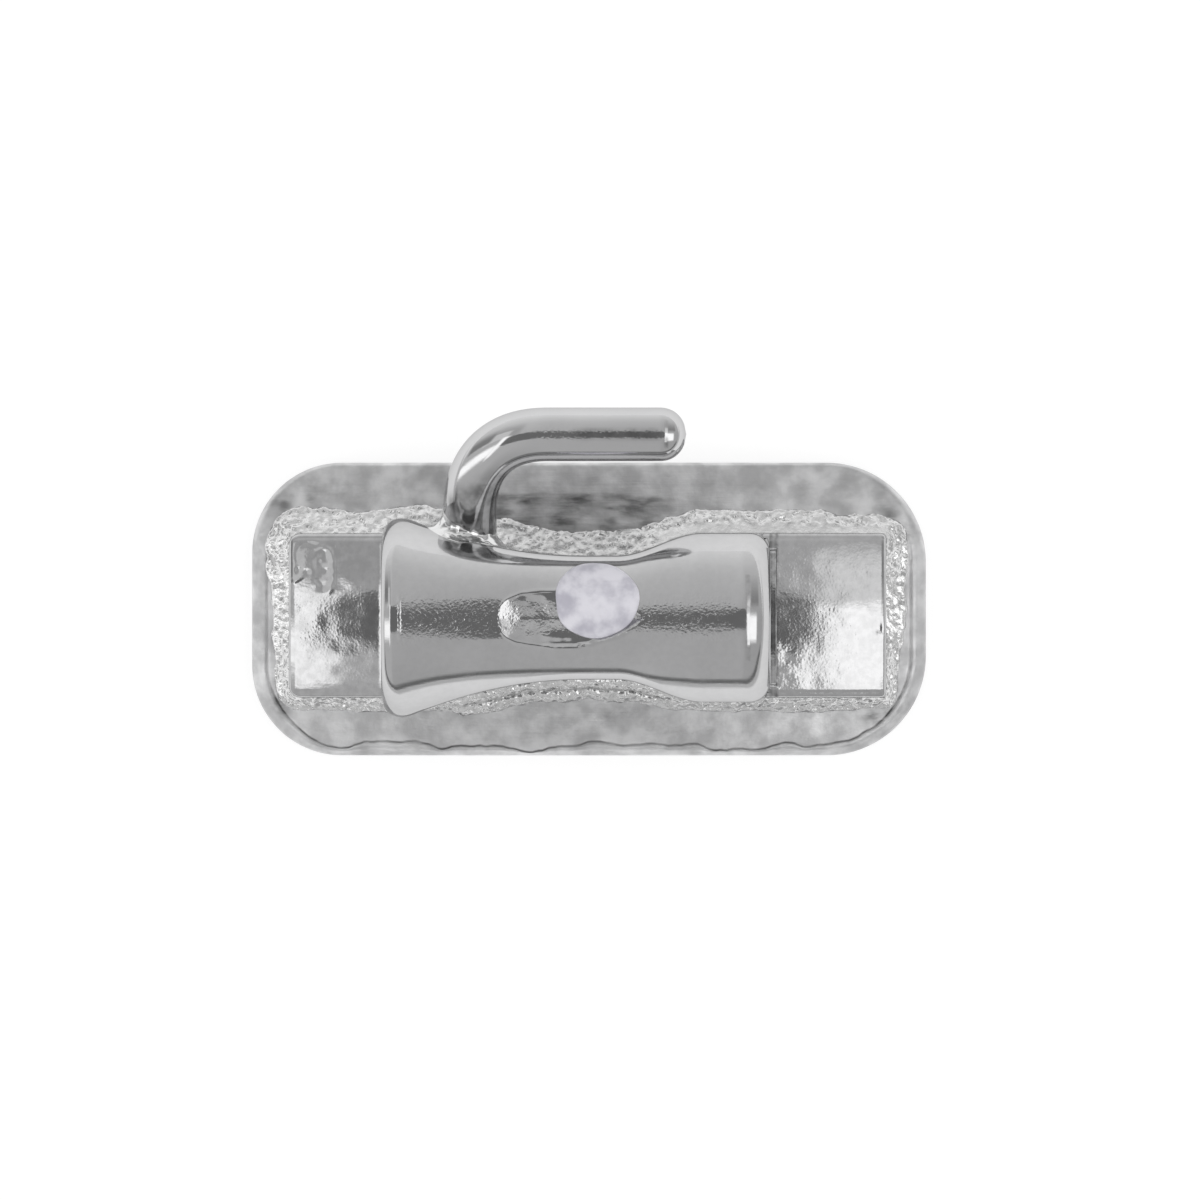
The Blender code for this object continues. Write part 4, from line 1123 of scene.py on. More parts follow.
@dataclass
class PadBraze:
    """The braze round the flange: a lumpy fillet from the flange's edge down to the foil.

    Attributes:
        sizes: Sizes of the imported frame.
        curve: The tooth surface.
        tube: The casting it holds.
    """

    sizes: FrameSizes
    curve: ToothCurve
    tube: TubeBody
    foil_top: float = 0.335
    rise: float = 0.15
    rise_end: float = 0.085
    bead: float = 0.026
    toe_end: float = 0.19
    toe_gum: float = 0.27
    toe_bite: float = 0.14
    points_around: int = 1300

    def flange_edge(self) -> np.ndarray:
        """Return the flange's outline in plan, which follows the tube's waist, evenly stepped."""
        near, far = self.sizes.flange_mesial_x, self.sizes.flange_distal_x
        ends = 0.12 * (1 - np.cos(np.linspace(0.0, math.pi / 2, 12)))
        along = np.concatenate([near + ends, np.linspace(near + 0.14, far - 0.14, 400), far - ends[::-1]])
        gum = [(x, self.tube.axis_y + self.tube.edge_distance(x, 1.0)) for x in along[::-1]]
        bite = [(x, self.tube.axis_y - self.tube.edge_distance(x, -1.0)) for x in along]
        loop = np.array(gum + bite + gum[:1])
        run = np.concatenate([[0.0], np.cumsum(np.linalg.norm(np.diff(loop, axis=0), axis=1))])
        steps = np.linspace(0.0, run[-1], self.points_around, endpoint=False)
        return np.stack([np.interp(steps, run, loop[:, 0]), np.interp(steps, run, loop[:, 1])], axis=1)

    def outward(self, outline: np.ndarray) -> np.ndarray:
        """Return the direction out of the flange at each point, softened over its neighbours."""
        ahead, behind = np.roll(outline, -4, axis=0), np.roll(outline, 4, axis=0)
        normal = np.stack([(ahead - behind)[:, 1], -(ahead - behind)[:, 0]], axis=1)
        normal /= np.linalg.norm(normal, axis=1)[:, None]
        soft = sum(np.roll(normal, shift, axis=0) for shift in range(-12, 13))
        return soft / np.linalg.norm(soft, axis=1)[:, None]

    def sides(self, near: np.ndarray) -> tuple[np.ndarray, np.ndarray, np.ndarray]:
        """Return how much of each point belongs to the gum side, to the bite side and to its waist."""
        x, y = near[:, 0], near[:, 1]
        bite = smooth_step(-y, 0.25, 0.6)
        return smooth_step(y, 0.15, 0.5), bite, bite * smooth_step(x, -1.7, -1.1) * (1 - smooth_step(x, 0.6, 1.0))

    def toe(self, near: np.ndarray, outward: np.ndarray) -> np.ndarray:
        """Return where the braze runs out on the foil, ragged all round."""
        points = np.column_stack([near, np.zeros(len(near))])
        gum, bite, waist = self.sides(near)
        reach = self.toe_gum * gum + self.toe_bite * bite + self.toe_end * (1 - gum - bite) + 0.08 * waist
        reach = reach - 0.05 * gum * smooth_step(near[:, 0], 0.3, 0.9)
        ragged = 1.0 + 0.2 * SkinNoise(0.3, 31).at(points) + 0.08 * SkinNoise(0.09, 32).at(points)
        return near + outward * (reach * np.clip(ragged, 0.4, 1.6))[:, None]

    def build(self) -> bpy.types.Mesh:
        """Return the braze's mesh, in millimetres."""
        edge = self.flange_edge()
        outward = self.outward(edge)
        inner, outer = edge - 0.015 * outward, self.toe(edge, outward)
        under = edge - 0.25 * outward
        rows = []

        def row(plan: np.ndarray, height: np.ndarray | float) -> None:
            rows.append(np.column_stack([plan, self.curve.sag(plan[:, 0], plan[:, 1]) + height]))

        gum, bite, waist = self.sides(edge)
        ends = 1 - gum - bite
        rise = self.rise * (1 - ends) + self.rise_end * ends
        far_gum = gum * smooth_step(edge[:, 1], 0.6, 0.74) * smooth_step(edge[:, 0], -0.2, 0.4)
        row(under, self.foil_top + 0.035)
        row(inner, self.foil_top + 0.035)
        row(inner, self.foil_top + rise * 0.8)
        for share in np.linspace(0.0, 1.0, 17):
            plan = inner + (outer - inner) * share
            points = np.column_stack([plan, np.zeros(len(plan))])
            lumps = 0.014 * SkinNoise(0.1, 33).at(points) + 0.015 * SkinNoise(0.045, 34).at(points)
            calm = far_gum * (1.0 - float(smooth_step(np.array(share), 0.35, 0.55)))
            lumps = lumps * (1 - 0.55 * ends - 0.4 * waist) * (1 - 0.85 * calm)
            lumps += self.bead * waist * abs(math.sin(2 * math.pi * share))
            body = (1 - share) ** 1.7
            window = np.sqrt(4 * share * (1 - share))
            row(plan, self.foil_top + rise * body * 0.9 + (0.018 + lumps) * window)
        row(outer, self.foil_top - 0.012)
        row(inner, self.foil_top - 0.012)
        row(under, self.foil_top - 0.012)
        count = len(inner)
        faces = strip_faces(len(rows), count)
        last = (len(rows) - 1) * count
        for column in range(count):
            beside = (column + 1) % count
            faces.append((last + column, column, beside, last + beside))
        mesh = mesh_of("pad_braze", np.concatenate(rows), faces)
        shares = np.clip(np.repeat(np.arange(len(rows)) - 3, count) / 16.0, -1.0, 1.0)
        # Painted shade: the valley between the waist's two beads is darkened, and so is the gum side under the hook
        # (shaded).
        groove_shade = 0.75 * np.exp(-(((shares - 0.5) / 0.08) ** 2)) * np.tile(waist, len(rows))
        seam = 0.6 * np.exp(-((shares / 0.07) ** 2))
        calm = np.tile(far_gum, len(rows)) * (1.0 - smooth_step(shares, 0.35, 0.55))
        grain = np.tile(1 - 0.6 * ends, len(rows)) * (1.0 - 0.9 * calm)
        shaded = np.tile(gum * smooth_step(edge[:, 0], -1.1, -0.8) * (1 - smooth_step(edge[:, 0], 0.4, 0.8)), len(rows))
        mark(mesh, grain=grain, stain=groove_shade + seam + 0.22 * calm + 0.24 * shaded)
        return mesh


class GeometrySketch:
    """A Geometry Nodes tree under construction, with short calls for its nodes."""

    def __init__(self, name: str, sizes: dict[str, float], material: bpy.types.Material) -> None:
        """Start a tree with a mesh input, a named input for each size, and one for the material."""
        self.tree = bpy.data.node_groups.new(name, "GeometryNodeTree")
        face = self.tree.interface
        face.new_socket(name="Geometry", in_out="INPUT", socket_type="NodeSocketGeometry")
        self.values: dict[str, float | bpy.types.Material] = {}
        for label, value in sizes.items():
            socket = face.new_socket(name=label, in_out="INPUT", socket_type="NodeSocketFloat")
            self.values[socket.identifier] = value
        socket = face.new_socket(name="Material", in_out="INPUT", socket_type="NodeSocketMaterial")
        self.values[socket.identifier] = material
        face.new_socket(name="Geometry", in_out="OUTPUT", socket_type="NodeSocketGeometry")
        self.entry = self.tree.nodes.new("NodeGroupInput").outputs
        self.exit = self.tree.nodes.new("NodeGroupOutput")

    def node(self, kind: str, mode: str = "", **links: object) -> bpy.types.Node:
        """Add a node, set its mode if it has one, and link or set its inputs, named with underscores for spaces."""
        node = self.tree.nodes.new(kind)
        if mode:
            node.mode = mode
        for label, value in links.items():
            self.feed(node.inputs[label.replace("_", " ")], value)
        return node

    def feed(self, socket: bpy.types.NodeSocket, value: object) -> None:
        """Link a socket to an input, or set the input's value."""
        if isinstance(value, bpy.types.NodeSocket):
            self.tree.links.new(value, socket)
        else:
            socket.default_value = value

    def math(self, operation: str, one: object, other: object = 0.0) -> bpy.types.NodeSocket:
        """Work out one operation on two numbers."""
        node = self.tree.nodes.new("ShaderNodeMath")
        node.operation = operation
        self.feed(node.inputs[0], one)
        self.feed(node.inputs[1], other)
        return node.outputs[0]

    def vector(self, x: object = 0.0, y: object = 0.0, z: object = 0.0) -> bpy.types.NodeSocket:
        """Join three numbers to a vector."""
        return self.node("ShaderNodeCombineXYZ", X=x, Y=y, Z=z).outputs[0]

    def place_parts(self) -> tuple[bpy.types.NodeSocket, bpy.types.NodeSocket]:
        """Return the x and y of each point."""
        position = self.node("GeometryNodeInputPosition").outputs[0]
        parts = self.node("ShaderNodeSeparateXYZ", Vector=position).outputs
        return parts["X"], parts["Y"]

    def end(self, geometry: bpy.types.NodeSocket) -> None:
        """Realize the geometry, give it its material and send it out."""
        solid = self.node("GeometryNodeRealizeInstances", Geometry=geometry).outputs[0]
        dressed = self.node("GeometryNodeSetMaterial", Geometry=solid, Material=self.entry["Material"])
        self.tree.links.new(dressed.outputs[0], self.exit.inputs[0])

    def run(self, name: str, data: bpy.types.ID) -> bpy.types.Mesh:
        """Evaluate the tree on a mesh or curve and return the plain mesh that it makes."""
        item = place(name, data)
        modifier = item.modifiers.new(name, "NODES")
        modifier.node_group = self.tree
        for identifier, value in self.values.items():
            modifier[identifier] = value
        return bake(item)


@dataclass
class WovenMesh:
    """The pad's mesh: round wires woven over and under, trimmed to the pad, and its pressed border.

    Attributes:
        sizes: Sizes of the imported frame.
        curve: The tooth surface.
    """

    sizes: FrameSizes
    curve: ToothCurve
    pitch: float = 0.423
    wire: float = 0.1
    swing: float = 0.048
    middle: float = 0.1
    border: float = 0.12
    points_a_wire: int = 240
    sides: int = 8

    def outside(self, sketch: GeometrySketch, margin: float) -> bpy.types.NodeSocket:
        """Return whether a point lies outside the pad's outline drawn in by a margin."""
        x, y = sketch.place_parts()
        corner = sketch.entry["Corner"]
        past_x = sketch.math("SUBTRACT", sketch.math("ABSOLUTE", x), sketch.entry["Half Length"])
        past_y = sketch.math("SUBTRACT", sketch.math("ABSOLUTE", y), sketch.entry["Half Width"])
        past_x = sketch.math("MAXIMUM", sketch.math("ADD", past_x, corner), 0.0)
        past_y = sketch.math("MAXIMUM", sketch.math("ADD", past_y, corner), 0.0)
        squares = sketch.math("ADD", sketch.math("POWER", past_x, 2.0), sketch.math("POWER", past_y, 2.0))
        reach = sketch.math("SQRT", squares)
        return sketch.math("GREATER_THAN", reach, sketch.math("SUBTRACT", corner, margin))

    def wires(self, sketch: GeometrySketch, run: WireRun) -> bpy.types.NodeSocket:
        """Return all the wires that run one way."""
        lengthwise = run is WireRun.LENGTHWISE
        half_run = self.sizes.pad_half_length if lengthwise else self.sizes.pad_half_width
        half_row = self.sizes.pad_half_width if lengthwise else self.sizes.pad_half_length
        reach = int((half_row - self.border) / self.pitch)
        turn = (lambda along, row: (along, row, 0.0)) if lengthwise else (lambda along, row: (row, along, 0.0))
        rows = sketch.node(
            "GeometryNodeMeshLine",
            Count=2 * reach + 1,
            Start_Location=turn(0.0, -reach * self.pitch),
            Offset=turn(0.0, self.pitch),
        ).outputs[0]
        line = sketch.node("GeometryNodeCurvePrimitiveLine", Start=turn(-half_run, 0.0), End=turn(half_run, 0.0))
        fine = sketch.node(
            "GeometryNodeResampleCurve", "COUNT", Curve=line.outputs[0], Count=self.points_a_wire
        )
        copies = sketch.node("GeometryNodeInstanceOnPoints", Points=rows, Instance=fine.outputs[0])
        real = sketch.node("GeometryNodeRealizeInstances", Geometry=copies.outputs[0]).outputs[0]
        trimmed = sketch.node("GeometryNodeDeleteGeometry", Geometry=real, Selection=self.outside(sketch, 0.09))
        x, y = sketch.place_parts()
        waves = []
        for value in (x, y):
            phase = sketch.math("DIVIDE", sketch.math("MULTIPLY", value, math.pi), sketch.entry["Pitch"])
            waves.append(sketch.math("COSINE", phase))
        swing = sketch.math("MULTIPLY", sketch.entry["Swing"], run.value)
        woven = sketch.math("MULTIPLY", sketch.math("MULTIPLY", *waves), swing)
        falls = []
        for value, radius in ((x, sketch.entry["Lengthwise Radius"]), (y, sketch.entry["Crosswise Radius"])):
            square = sketch.math("POWER", sketch.math("ABSOLUTE", value), 2.0)
            falls.append(sketch.math("DIVIDE", square, sketch.math("MULTIPLY", radius, -2.0)))
        height = sketch.math("ADD", sketch.math("ADD", *falls), sketch.math("ADD", woven, self.middle))
        lifted = sketch.node(
            "GeometryNodeSetPosition", Geometry=trimmed.outputs[0], Offset=sketch.vector(z=height)
        ).outputs[0]
        radius = sketch.math("MULTIPLY", sketch.entry["Wire Diameter"], 0.5)
        circle = sketch.node("GeometryNodeCurvePrimitiveCircle", Resolution=self.sides, Radius=radius)
        tube = sketch.node(
            "GeometryNodeCurveToMesh", Curve=lifted, Profile_Curve=circle.outputs[0], Fill_Caps=True
        )
        return tube.outputs[0]

    def build_wires(self, material: bpy.types.Material) -> bpy.types.Mesh:
        """Return the woven wires, in millimetres."""
        sizes = {
            "Pitch": self.pitch,
            "Wire Diameter": self.wire,
            "Swing": self.swing,
            "Half Length": self.sizes.pad_half_length,
            "Half Width": self.sizes.pad_half_width,
            "Corner": 0.98,
            "Lengthwise Radius": self.curve.lengthwise,
            "Crosswise Radius": self.curve.crosswise,
        }
        sketch = GeometrySketch("woven_mesh", sizes, material)
        both = sketch.node("GeometryNodeJoinGeometry")
        for run in WireRun:
            sketch.tree.links.new(self.wires(sketch, run), both.inputs[0])
        sketch.end(both.outputs[0])
        return sketch.run("pad_mesh_wires", bpy.data.meshes.new("pad_mesh_seed"))

    def build_border(self) -> bpy.types.Mesh:
        """Return the pressed band that the wires' ends run into, in millimetres."""
        foil = PadFoil(self.sizes, self.curve)
        rows = []
        for inset, height in ((0.0, 0.2), (0.0, 0.045), (0.03, 0.03), (self.border, 0.03), (self.border, 0.2)):
            plan = foil.outline(inset)
            points = np.column_stack([plan, np.zeros(len(plan))])
            pressed = 0.012 * SkinNoise(0.22, 41).at(points) * (height < 0.1)
            rows.append(np.column_stack([plan, foil.curve.sag(plan[:, 0], plan[:, 1]) + height + pressed]))
        count = len(rows[0])
        faces = strip_faces(len(rows), count)
        last = (len(rows) - 1) * count
        for column in range(count):
            beside = (column + 1) % count
            faces.append((last + column, column, beside, last + beside))
        return mesh_of("pad_mesh_border", np.concatenate(rows), faces)


@dataclass
class Hook:
    """The hook: round wire bent once, with a domed tip, and the braze at its root.

    Attributes:
        sizes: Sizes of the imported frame.
        tube: The casting it stands on.
    """

    sizes: FrameSizes
    tube: TubeBody
    root_x: float = -1.243
    root_rise: float = 0.41
    bend_radius: float = 0.836
    squareness: float = 2.4
    steepening: float = 1.0
    inset: float = 0.22
    sides: int = 56
    step: float = 0.02
    puddle_reach: float = 0.15
    puddle_up: float = 0.3

    def path(self) -> np.ndarray:
        """Return the middle line of the wire from inside the tube's wall to the tip: level, then falling to the root.

        Returns:
            Rows of x, y and z.
        """
        turns = np.linspace(0.0, math.pi / 2, 60)
        left = np.sin(turns) ** (2 / self.squareness)
        up = np.clip(np.cos(turns), 0.0, None) ** (2 / self.squareness)
        bend_x = self.root_x + self.bend_radius * (1 - left)
        bend_y = self.sizes.hook_arm_y - self.bend_radius * (1 - up)
        wall_y = self.tube.axis_y + float(self.tube.half_width(np.array(self.root_x)))
        plan_x = np.append(bend_x, [self.root_x, self.root_x])
        plan_y = np.append(bend_y, [wall_y, wall_y - self.inset])
        steps_x, steps_y = np.abs(np.diff(plan_x)), np.abs(np.diff(plan_y))
        turned = np.arctan2(steps_y, steps_x) / (math.pi / 2)
        falls = np.concatenate([[0.0], np.cumsum(np.hypot(steps_x, steps_y) * turned**self.steepening)])
        drop = self.sizes.hook_arm_z - self.root_z
        heights = self.sizes.hook_arm_z - falls * drop / falls[-2]
        tip = [(self.sizes.hook_tip_x, self.sizes.hook_arm_y, self.sizes.hook_arm_z)]
        return np.concatenate([np.column_stack([plan_x, plan_y, heights])[::-1], tip])

    @property
    def root_z(self) -> float:
        """Return the height of the wire where it meets the tube's wall."""
        return self.tube.flange_top + self.root_rise

    @property
    def root_slope(self) -> float:
        """Return how much the wire climbs for each millimetre that it runs out from the tube."""
        inner, outer = self.path()[:2]
        return float((outer[2] - inner[2]) / (outer[1] - inner[1]))

    def build_wire(self, material: bpy.types.Material) -> bpy.types.Mesh:
        """Return the bent wire, in millimetres."""
        path = self.path()
        curve = bpy.data.curves.new("hook_path", "CURVE")
        curve.dimensions = "3D"
        spline = curve.splines.new("POLY")
        spline.points.add(len(path) - 1)
        for point, place_ in zip(spline.points, path):
            point.co = (*place_, 1.0)
        sketch = GeometrySketch("bent_wire", {"Wire Diameter": self.sizes.wire, "Step": self.step}, material)
        radius = sketch.math("MULTIPLY", sketch.entry["Wire Diameter"], 0.5)
        fine = sketch.node(
            "GeometryNodeResampleCurve", "LENGTH", Curve=sketch.entry["Geometry"], Length=sketch.entry["Step"]
        )
        run = sketch.node("GeometryNodeSplineParameter").outputs["Length"]
        whole = sketch.node("GeometryNodeSplineLength").outputs["Length"]
        left = sketch.math("DIVIDE", sketch.math("SUBTRACT", whole, run), radius)
        into_dome = sketch.math("MAXIMUM", sketch.math("SUBTRACT", 1.0, left), 0.0)
        square = sketch.math("POWER", into_dome, 2.2)
        dome = sketch.math("SQRT", sketch.math("MAXIMUM", sketch.math("SUBTRACT", 1.0, square), 0.0004))
        circle = sketch.node("GeometryNodeCurvePrimitiveCircle", Resolution=self.sides, Radius=radius)
        tube = sketch.node("GeometryNodeCurveToMesh", Curve=fine.outputs[0], Profile_Curve=circle.outputs[0])
        sketch.feed(tube.inputs["Scale"], dome)
        sketch.feed(tube.inputs["Fill Caps"], True)
        sketch.end(tube.outputs[0])
        mesh = sketch.run("hook_wire", curve)
        self.mark_skin(mesh)
        return mesh

    def mark_skin(self, mesh: bpy.types.Mesh) -> None:
        """Store the wire's skin: grainy along the top of its arm, with painted shade at its root, a painted dark
        reflection along the top of its arm, and painted shade beside the glint behind its tip.
        """
        points = points_of(mesh)
        x, y = points[:, 0], points[:, 1]
        off_top = np.abs(y - self.sizes.hook_arm_y)
        on_arm = smooth_step(x, -0.8, -0.3)
        # Painted shade: the stem is darkened near its root, where it meets the tube and its braze.
        root = 1.0 - smooth_step(y + 0.5 * (self.root_x - x), 1.15, 1.4)
        root = root * (1.0 - smooth_step(x, -0.95, -0.75))
        stain = 0.8 * root * smooth_step(x, self.root_x - 0.25, self.root_x - 0.2)
        top = 1.0 - smooth_step(off_top, 0.03, 0.09)
        grain = on_arm * (0.04 + 0.46 * top) * (1.0 - smooth_step(x, 0.72, 0.8))
        grain *= 1.9 - 0.9 * smooth_step(x, -0.3, 0.0)
        # Painted reflection: a dark line along the top of the arm.
        stain = np.maximum(stain, 0.45 * top * smooth_step(x, -0.25, 0.0) * (1.0 - smooth_step(x, 0.7, 0.78)))
        # Painted shade: the wire is darkened beside the glint just behind its domed tip, to dim that reflection.
        before_glint = np.exp(-(((x - self.sizes.hook_tip_x + 0.207) / 0.018) ** 2))
        beside_glint = smooth_step(off_top, 0.02, 0.05) * (1.0 - smooth_step(off_top, 0.12, 0.15))
        stain = np.maximum(stain, 0.75 * before_glint * beside_glint)
        mark(mesh, grain=grain, stain=stain)

    def build_puddle(self) -> bpy.types.Mesh:
        """Return the braze at the root: a fillet swept round the wire, wrinkled where it froze."""
        around, across = 160, 22
        wire = self.sizes.wire / 2 - 0.01
        slope = self.root_slope
        stretch = math.hypot(1.0, slope)
        root_y = self.wall_y(self.root_x, self.root_z)
        rows = []
        for turn in np.linspace(0.0, 2 * math.pi, around, endpoint=False):
            side_x, side_z = math.cos(turn), math.sin(turn)
            reach = self.puddle_reach * (1.0 + 0.4 * max(-side_x, 0.0) + 0.15 * max(side_z, 0.0))
            up = self.puddle_up * (0.75 + 0.25 * max(-side_x, 0.0) - 0.35 * max(side_z, 0.0))
            near = np.array((self.root_x + wire * side_x, self.root_z + wire * stretch * side_z))
            far = near + np.array((reach * side_x, reach * side_z))
            near_y, far_y = self.wall_y(*near), self.wall_y(*far)
            along_wire = np.array((near[0], near_y + up, near[1] + slope * (near_y + up - root_y)))
            at_wall = np.array((near[0], near_y, near[1] + slope * (near_y - root_y)))
            runs_out = np.array((far[0], far_y, far[1]))
            shares = np.linspace(0.0, 1.0, across)[:, None]
            rest = 1.0 - shares
            ring = rest**2 * along_wire + 2 * rest * shares * at_wall + shares**2 * runs_out
            swell = (4 * shares * rest)[:, 0]
            wrinkle = 0.018 * SkinNoise(0.11, 51).at(ring) + 0.012 * SkinNoise(0.05, 52).at(ring) + 0.02
            ring[:, 1] += swell * wrinkle * 0.7
            ring[:, 2] += swell * wrinkle * 0.7 * max(side_z, 0.0)
            ring[:, 0] += swell * wrinkle * 0.5 * side_x
            rows.append(np.vstack([ring, runs_out - (0.0, 0.03, 0.0), at_wall - (0.0, 0.04, 0.0)]))
        count = across + 2
        points = np.concatenate(rows)
        faces = []
        for row in range(around):
            beyond = (row + 1) % around
            for column in range(count):
                beside = (column + 1) % count
                faces.append(
                    (row * count + column, row * count + beside, beyond * count + beside, beyond * count + column)
                )
        return mesh_of("hook_braze", points, faces)

    def wall_y(self, x: float, z: float) -> float:
        """Return where the tube's gum side lies along Y at x and z."""
        outs, heights = self.tube.arch(x, np.linspace(math.pi / 2, 0.0, 60))
        return self.tube.axis_y + float(np.interp(z, heights, outs))


@dataclass
class PaintMark:
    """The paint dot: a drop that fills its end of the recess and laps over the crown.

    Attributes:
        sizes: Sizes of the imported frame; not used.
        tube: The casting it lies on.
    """

    sizes: FrameSizes
    tube: TubeBody
    middle_x: float = 0.072
    middle_y: float = 0.092
    half_length: float = 0.45
    half_width: float = 0.392
    film: float = 0.042
    around: int = 128
    rings: int = 26

    def reach(self, turn: np.ndarray) -> np.ndarray:
        """Return the outline's share of its full size in each direction, flattened on the mesial side."""
        flat = 0.07 * np.exp(-(((np.abs(turn) - math.pi) / 0.45) ** 2))
        return 1.0 - flat + 0.012 * np.sin(3 * turn + 0.8) + 0.008 * np.sin(7 * turn)

    def build(self) -> bpy.types.Mesh:
        """Return the drop's mesh, in millimetres."""
        turns = np.linspace(-math.pi, math.pi, self.around, endpoint=False)
        reach = self.reach(turns)
        shares = np.sin(np.linspace(0.0, math.pi / 2, self.rings + 1))[1:]
        tops, bottoms = [], []
        for share in shares:
            x = self.middle_x + self.half_length * share * reach * np.cos(turns)
            y = self.middle_y + self.half_width * share * reach * np.sin(turns)
            crown = self.tube.crown(x, y)
            sunk = np.clip(self.tube.recess(x, y), 0.0, None)
            points = np.stack([x, y, crown], axis=1)
            uneven = 0.006 * SkinNoise(0.2, 61).at(points) * (1 - share**4)
            dome = self.film * math.sqrt(max(1.0 - share**5, 0.0))
            tops.append(np.stack([x, y, crown + dome + uneven - 0.22 * sunk * (1 - share**6) - 0.004 * (share == 1.0)], axis=1))
            bottoms.append(np.stack([x, y, crown - sunk - 0.006], axis=1))
        rows = tops[::1] + bottoms[::-1]
        top_middle = np.array([[self.middle_x, self.middle_y, 0.0]])
        bottom_middle = top_middle.copy()
        crown = float(self.tube.crown(top_middle[:, 0], top_middle[:, 1])[0])
        sunk = max(float(self.tube.recess(top_middle[:, 0], top_middle[:, 1])[0]), 0.0)
        top_middle[0, 2] = crown + self.film - 0.22 * sunk
        bottom_middle[0, 2] = crown - sunk - 0.006
        points = np.concatenate(rows + [top_middle, bottom_middle])
        faces = strip_faces(len(rows), self.around)
        top_index, last = len(points) - 2, (len(rows) - 1) * self.around
        for column in range(self.around):
            beside = (column + 1) % self.around
            faces.append((top_index, column, beside))
            faces.append((top_index + 1, last + beside, last + column))
        return mesh_of("id_mark", points, faces)


@dataclass
class Studio:
    """The pale floor, the soft light round it and the camera above.

    Attributes:
        sizes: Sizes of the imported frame.
        view_width: Width of the picture at the part, in millimetres.
        aim: Where the camera looks, from the middle of the pad.
        height: How far up the camera stands.
    """

    sizes: FrameSizes
    view_width: float = 12.538
    aim: tuple[float, float] = (0.115, 0.094)
    height: float = 220.0
    floor_size: float = 900.0
    sensor: float = 36.0

    def build_floor(self) -> None:
        """Lay the pale floor under the pad, glowing as a painted pool of light round the part."""
        work = bmesh.new()
        bmesh.ops.create_grid(work, x_segments=8, y_segments=8, size=self.floor_size / 2)
        bmesh.ops.translate(work, vec=(0.0, 0.0, self.sizes.floor - 0.01), verts=work.verts)
        mesh = bpy.data.meshes.new("floor")
        work.to_mesh(mesh)
        work.free()
        mesh.transform(Matrix.Scale(MM, 4))
        sketch = ShaderSketch("pale_floor")
        # Painted light: the floor glows by its own emission, most within about 9 mm of the part and beyond 14 mm on the
        # gum side, and its colour is darker where it glows most.
        away = sketch.tree.nodes.new("ShaderNodeVectorMath")
        away.operation = "LENGTH"
        sketch.tree.links.new(sketch.millimetres, away.inputs[0])
        near = sketch.spread(away.outputs["Value"], (9.0, 26.0), (1.0, 0.0))
        parts = sketch.tree.nodes.new("ShaderNodeSeparateXYZ")
        sketch.tree.links.new(sketch.millimetres, parts.inputs[0])
        gum_side = sketch.spread(parts.outputs["Y"], (4.0, 14.0), (0.0, 1.0))
        wider = sketch.tree.nodes.new("ShaderNodeMath")
        wider.operation = "MAXIMUM"
        sketch.tree.links.new(near, wider.inputs[0])
        sketch.tree.links.new(gum_side, wider.inputs[1])
        floor_glow = wider.outputs["Value"]
        sketch.plug("Base Color", sketch.tint(floor_glow, (0.55, 0.55, 0.55), (0.25, 0.25, 0.25)))
        sketch.plug("Roughness", 0.9)
        sketch.plug("Specular IOR Level", 0.1)
        sketch.plug("Emission Strength", sketch.spread(floor_glow, (0.0, 1.0), (0.15, 0.82)))
        sketch.shader.inputs["Emission Color"].default_value = (1.0, 1.0, 1.0, 1.0)
        mesh.materials.append(sketch.material)
        place("floor", mesh)

    def build_light(self) -> None:
        """Hang one broad lamp over the part for its paint and the floor."""
        lamp = bpy.data.lights.new("overhead", "AREA")
        lamp.shape = "SQUARE"
        lamp.size = 400.0 * MM
        lamp.energy = 0.4
        item = place("overhead", lamp)
        item.location = (0.0, 0.0, 400.0 * MM)
        item.visible_glossy = False
        item.visible_camera = False

    def build_world(self) -> None:
        """Light the room: pale all round, dark overhead, a bright panel low on each end."""
        Room().build()

    def build_camera(self) -> None:
        """Stand the camera straight over the part, as the photograph was taken."""
        data = bpy.data.cameras.new("camera")
        data.sensor_width = self.sensor
        data.lens = self.sensor * self.height / self.view_width
        data.clip_start = 10.0 * MM
        data.clip_end = 10.0
        item = place("camera", data)
        x, y = self.aim
        item.location = Vector((x, y, self.height + self.sizes.tube_top * 0.4)) * MM
        bpy.context.scene.camera = item

    def build(self) -> None:
        """Build all of it and let white stay white."""
        self.build_floor()
        self.build_light()
        self.build_world()
        self.build_camera()
        bpy.context.scene.view_settings.view_transform = "Standard"


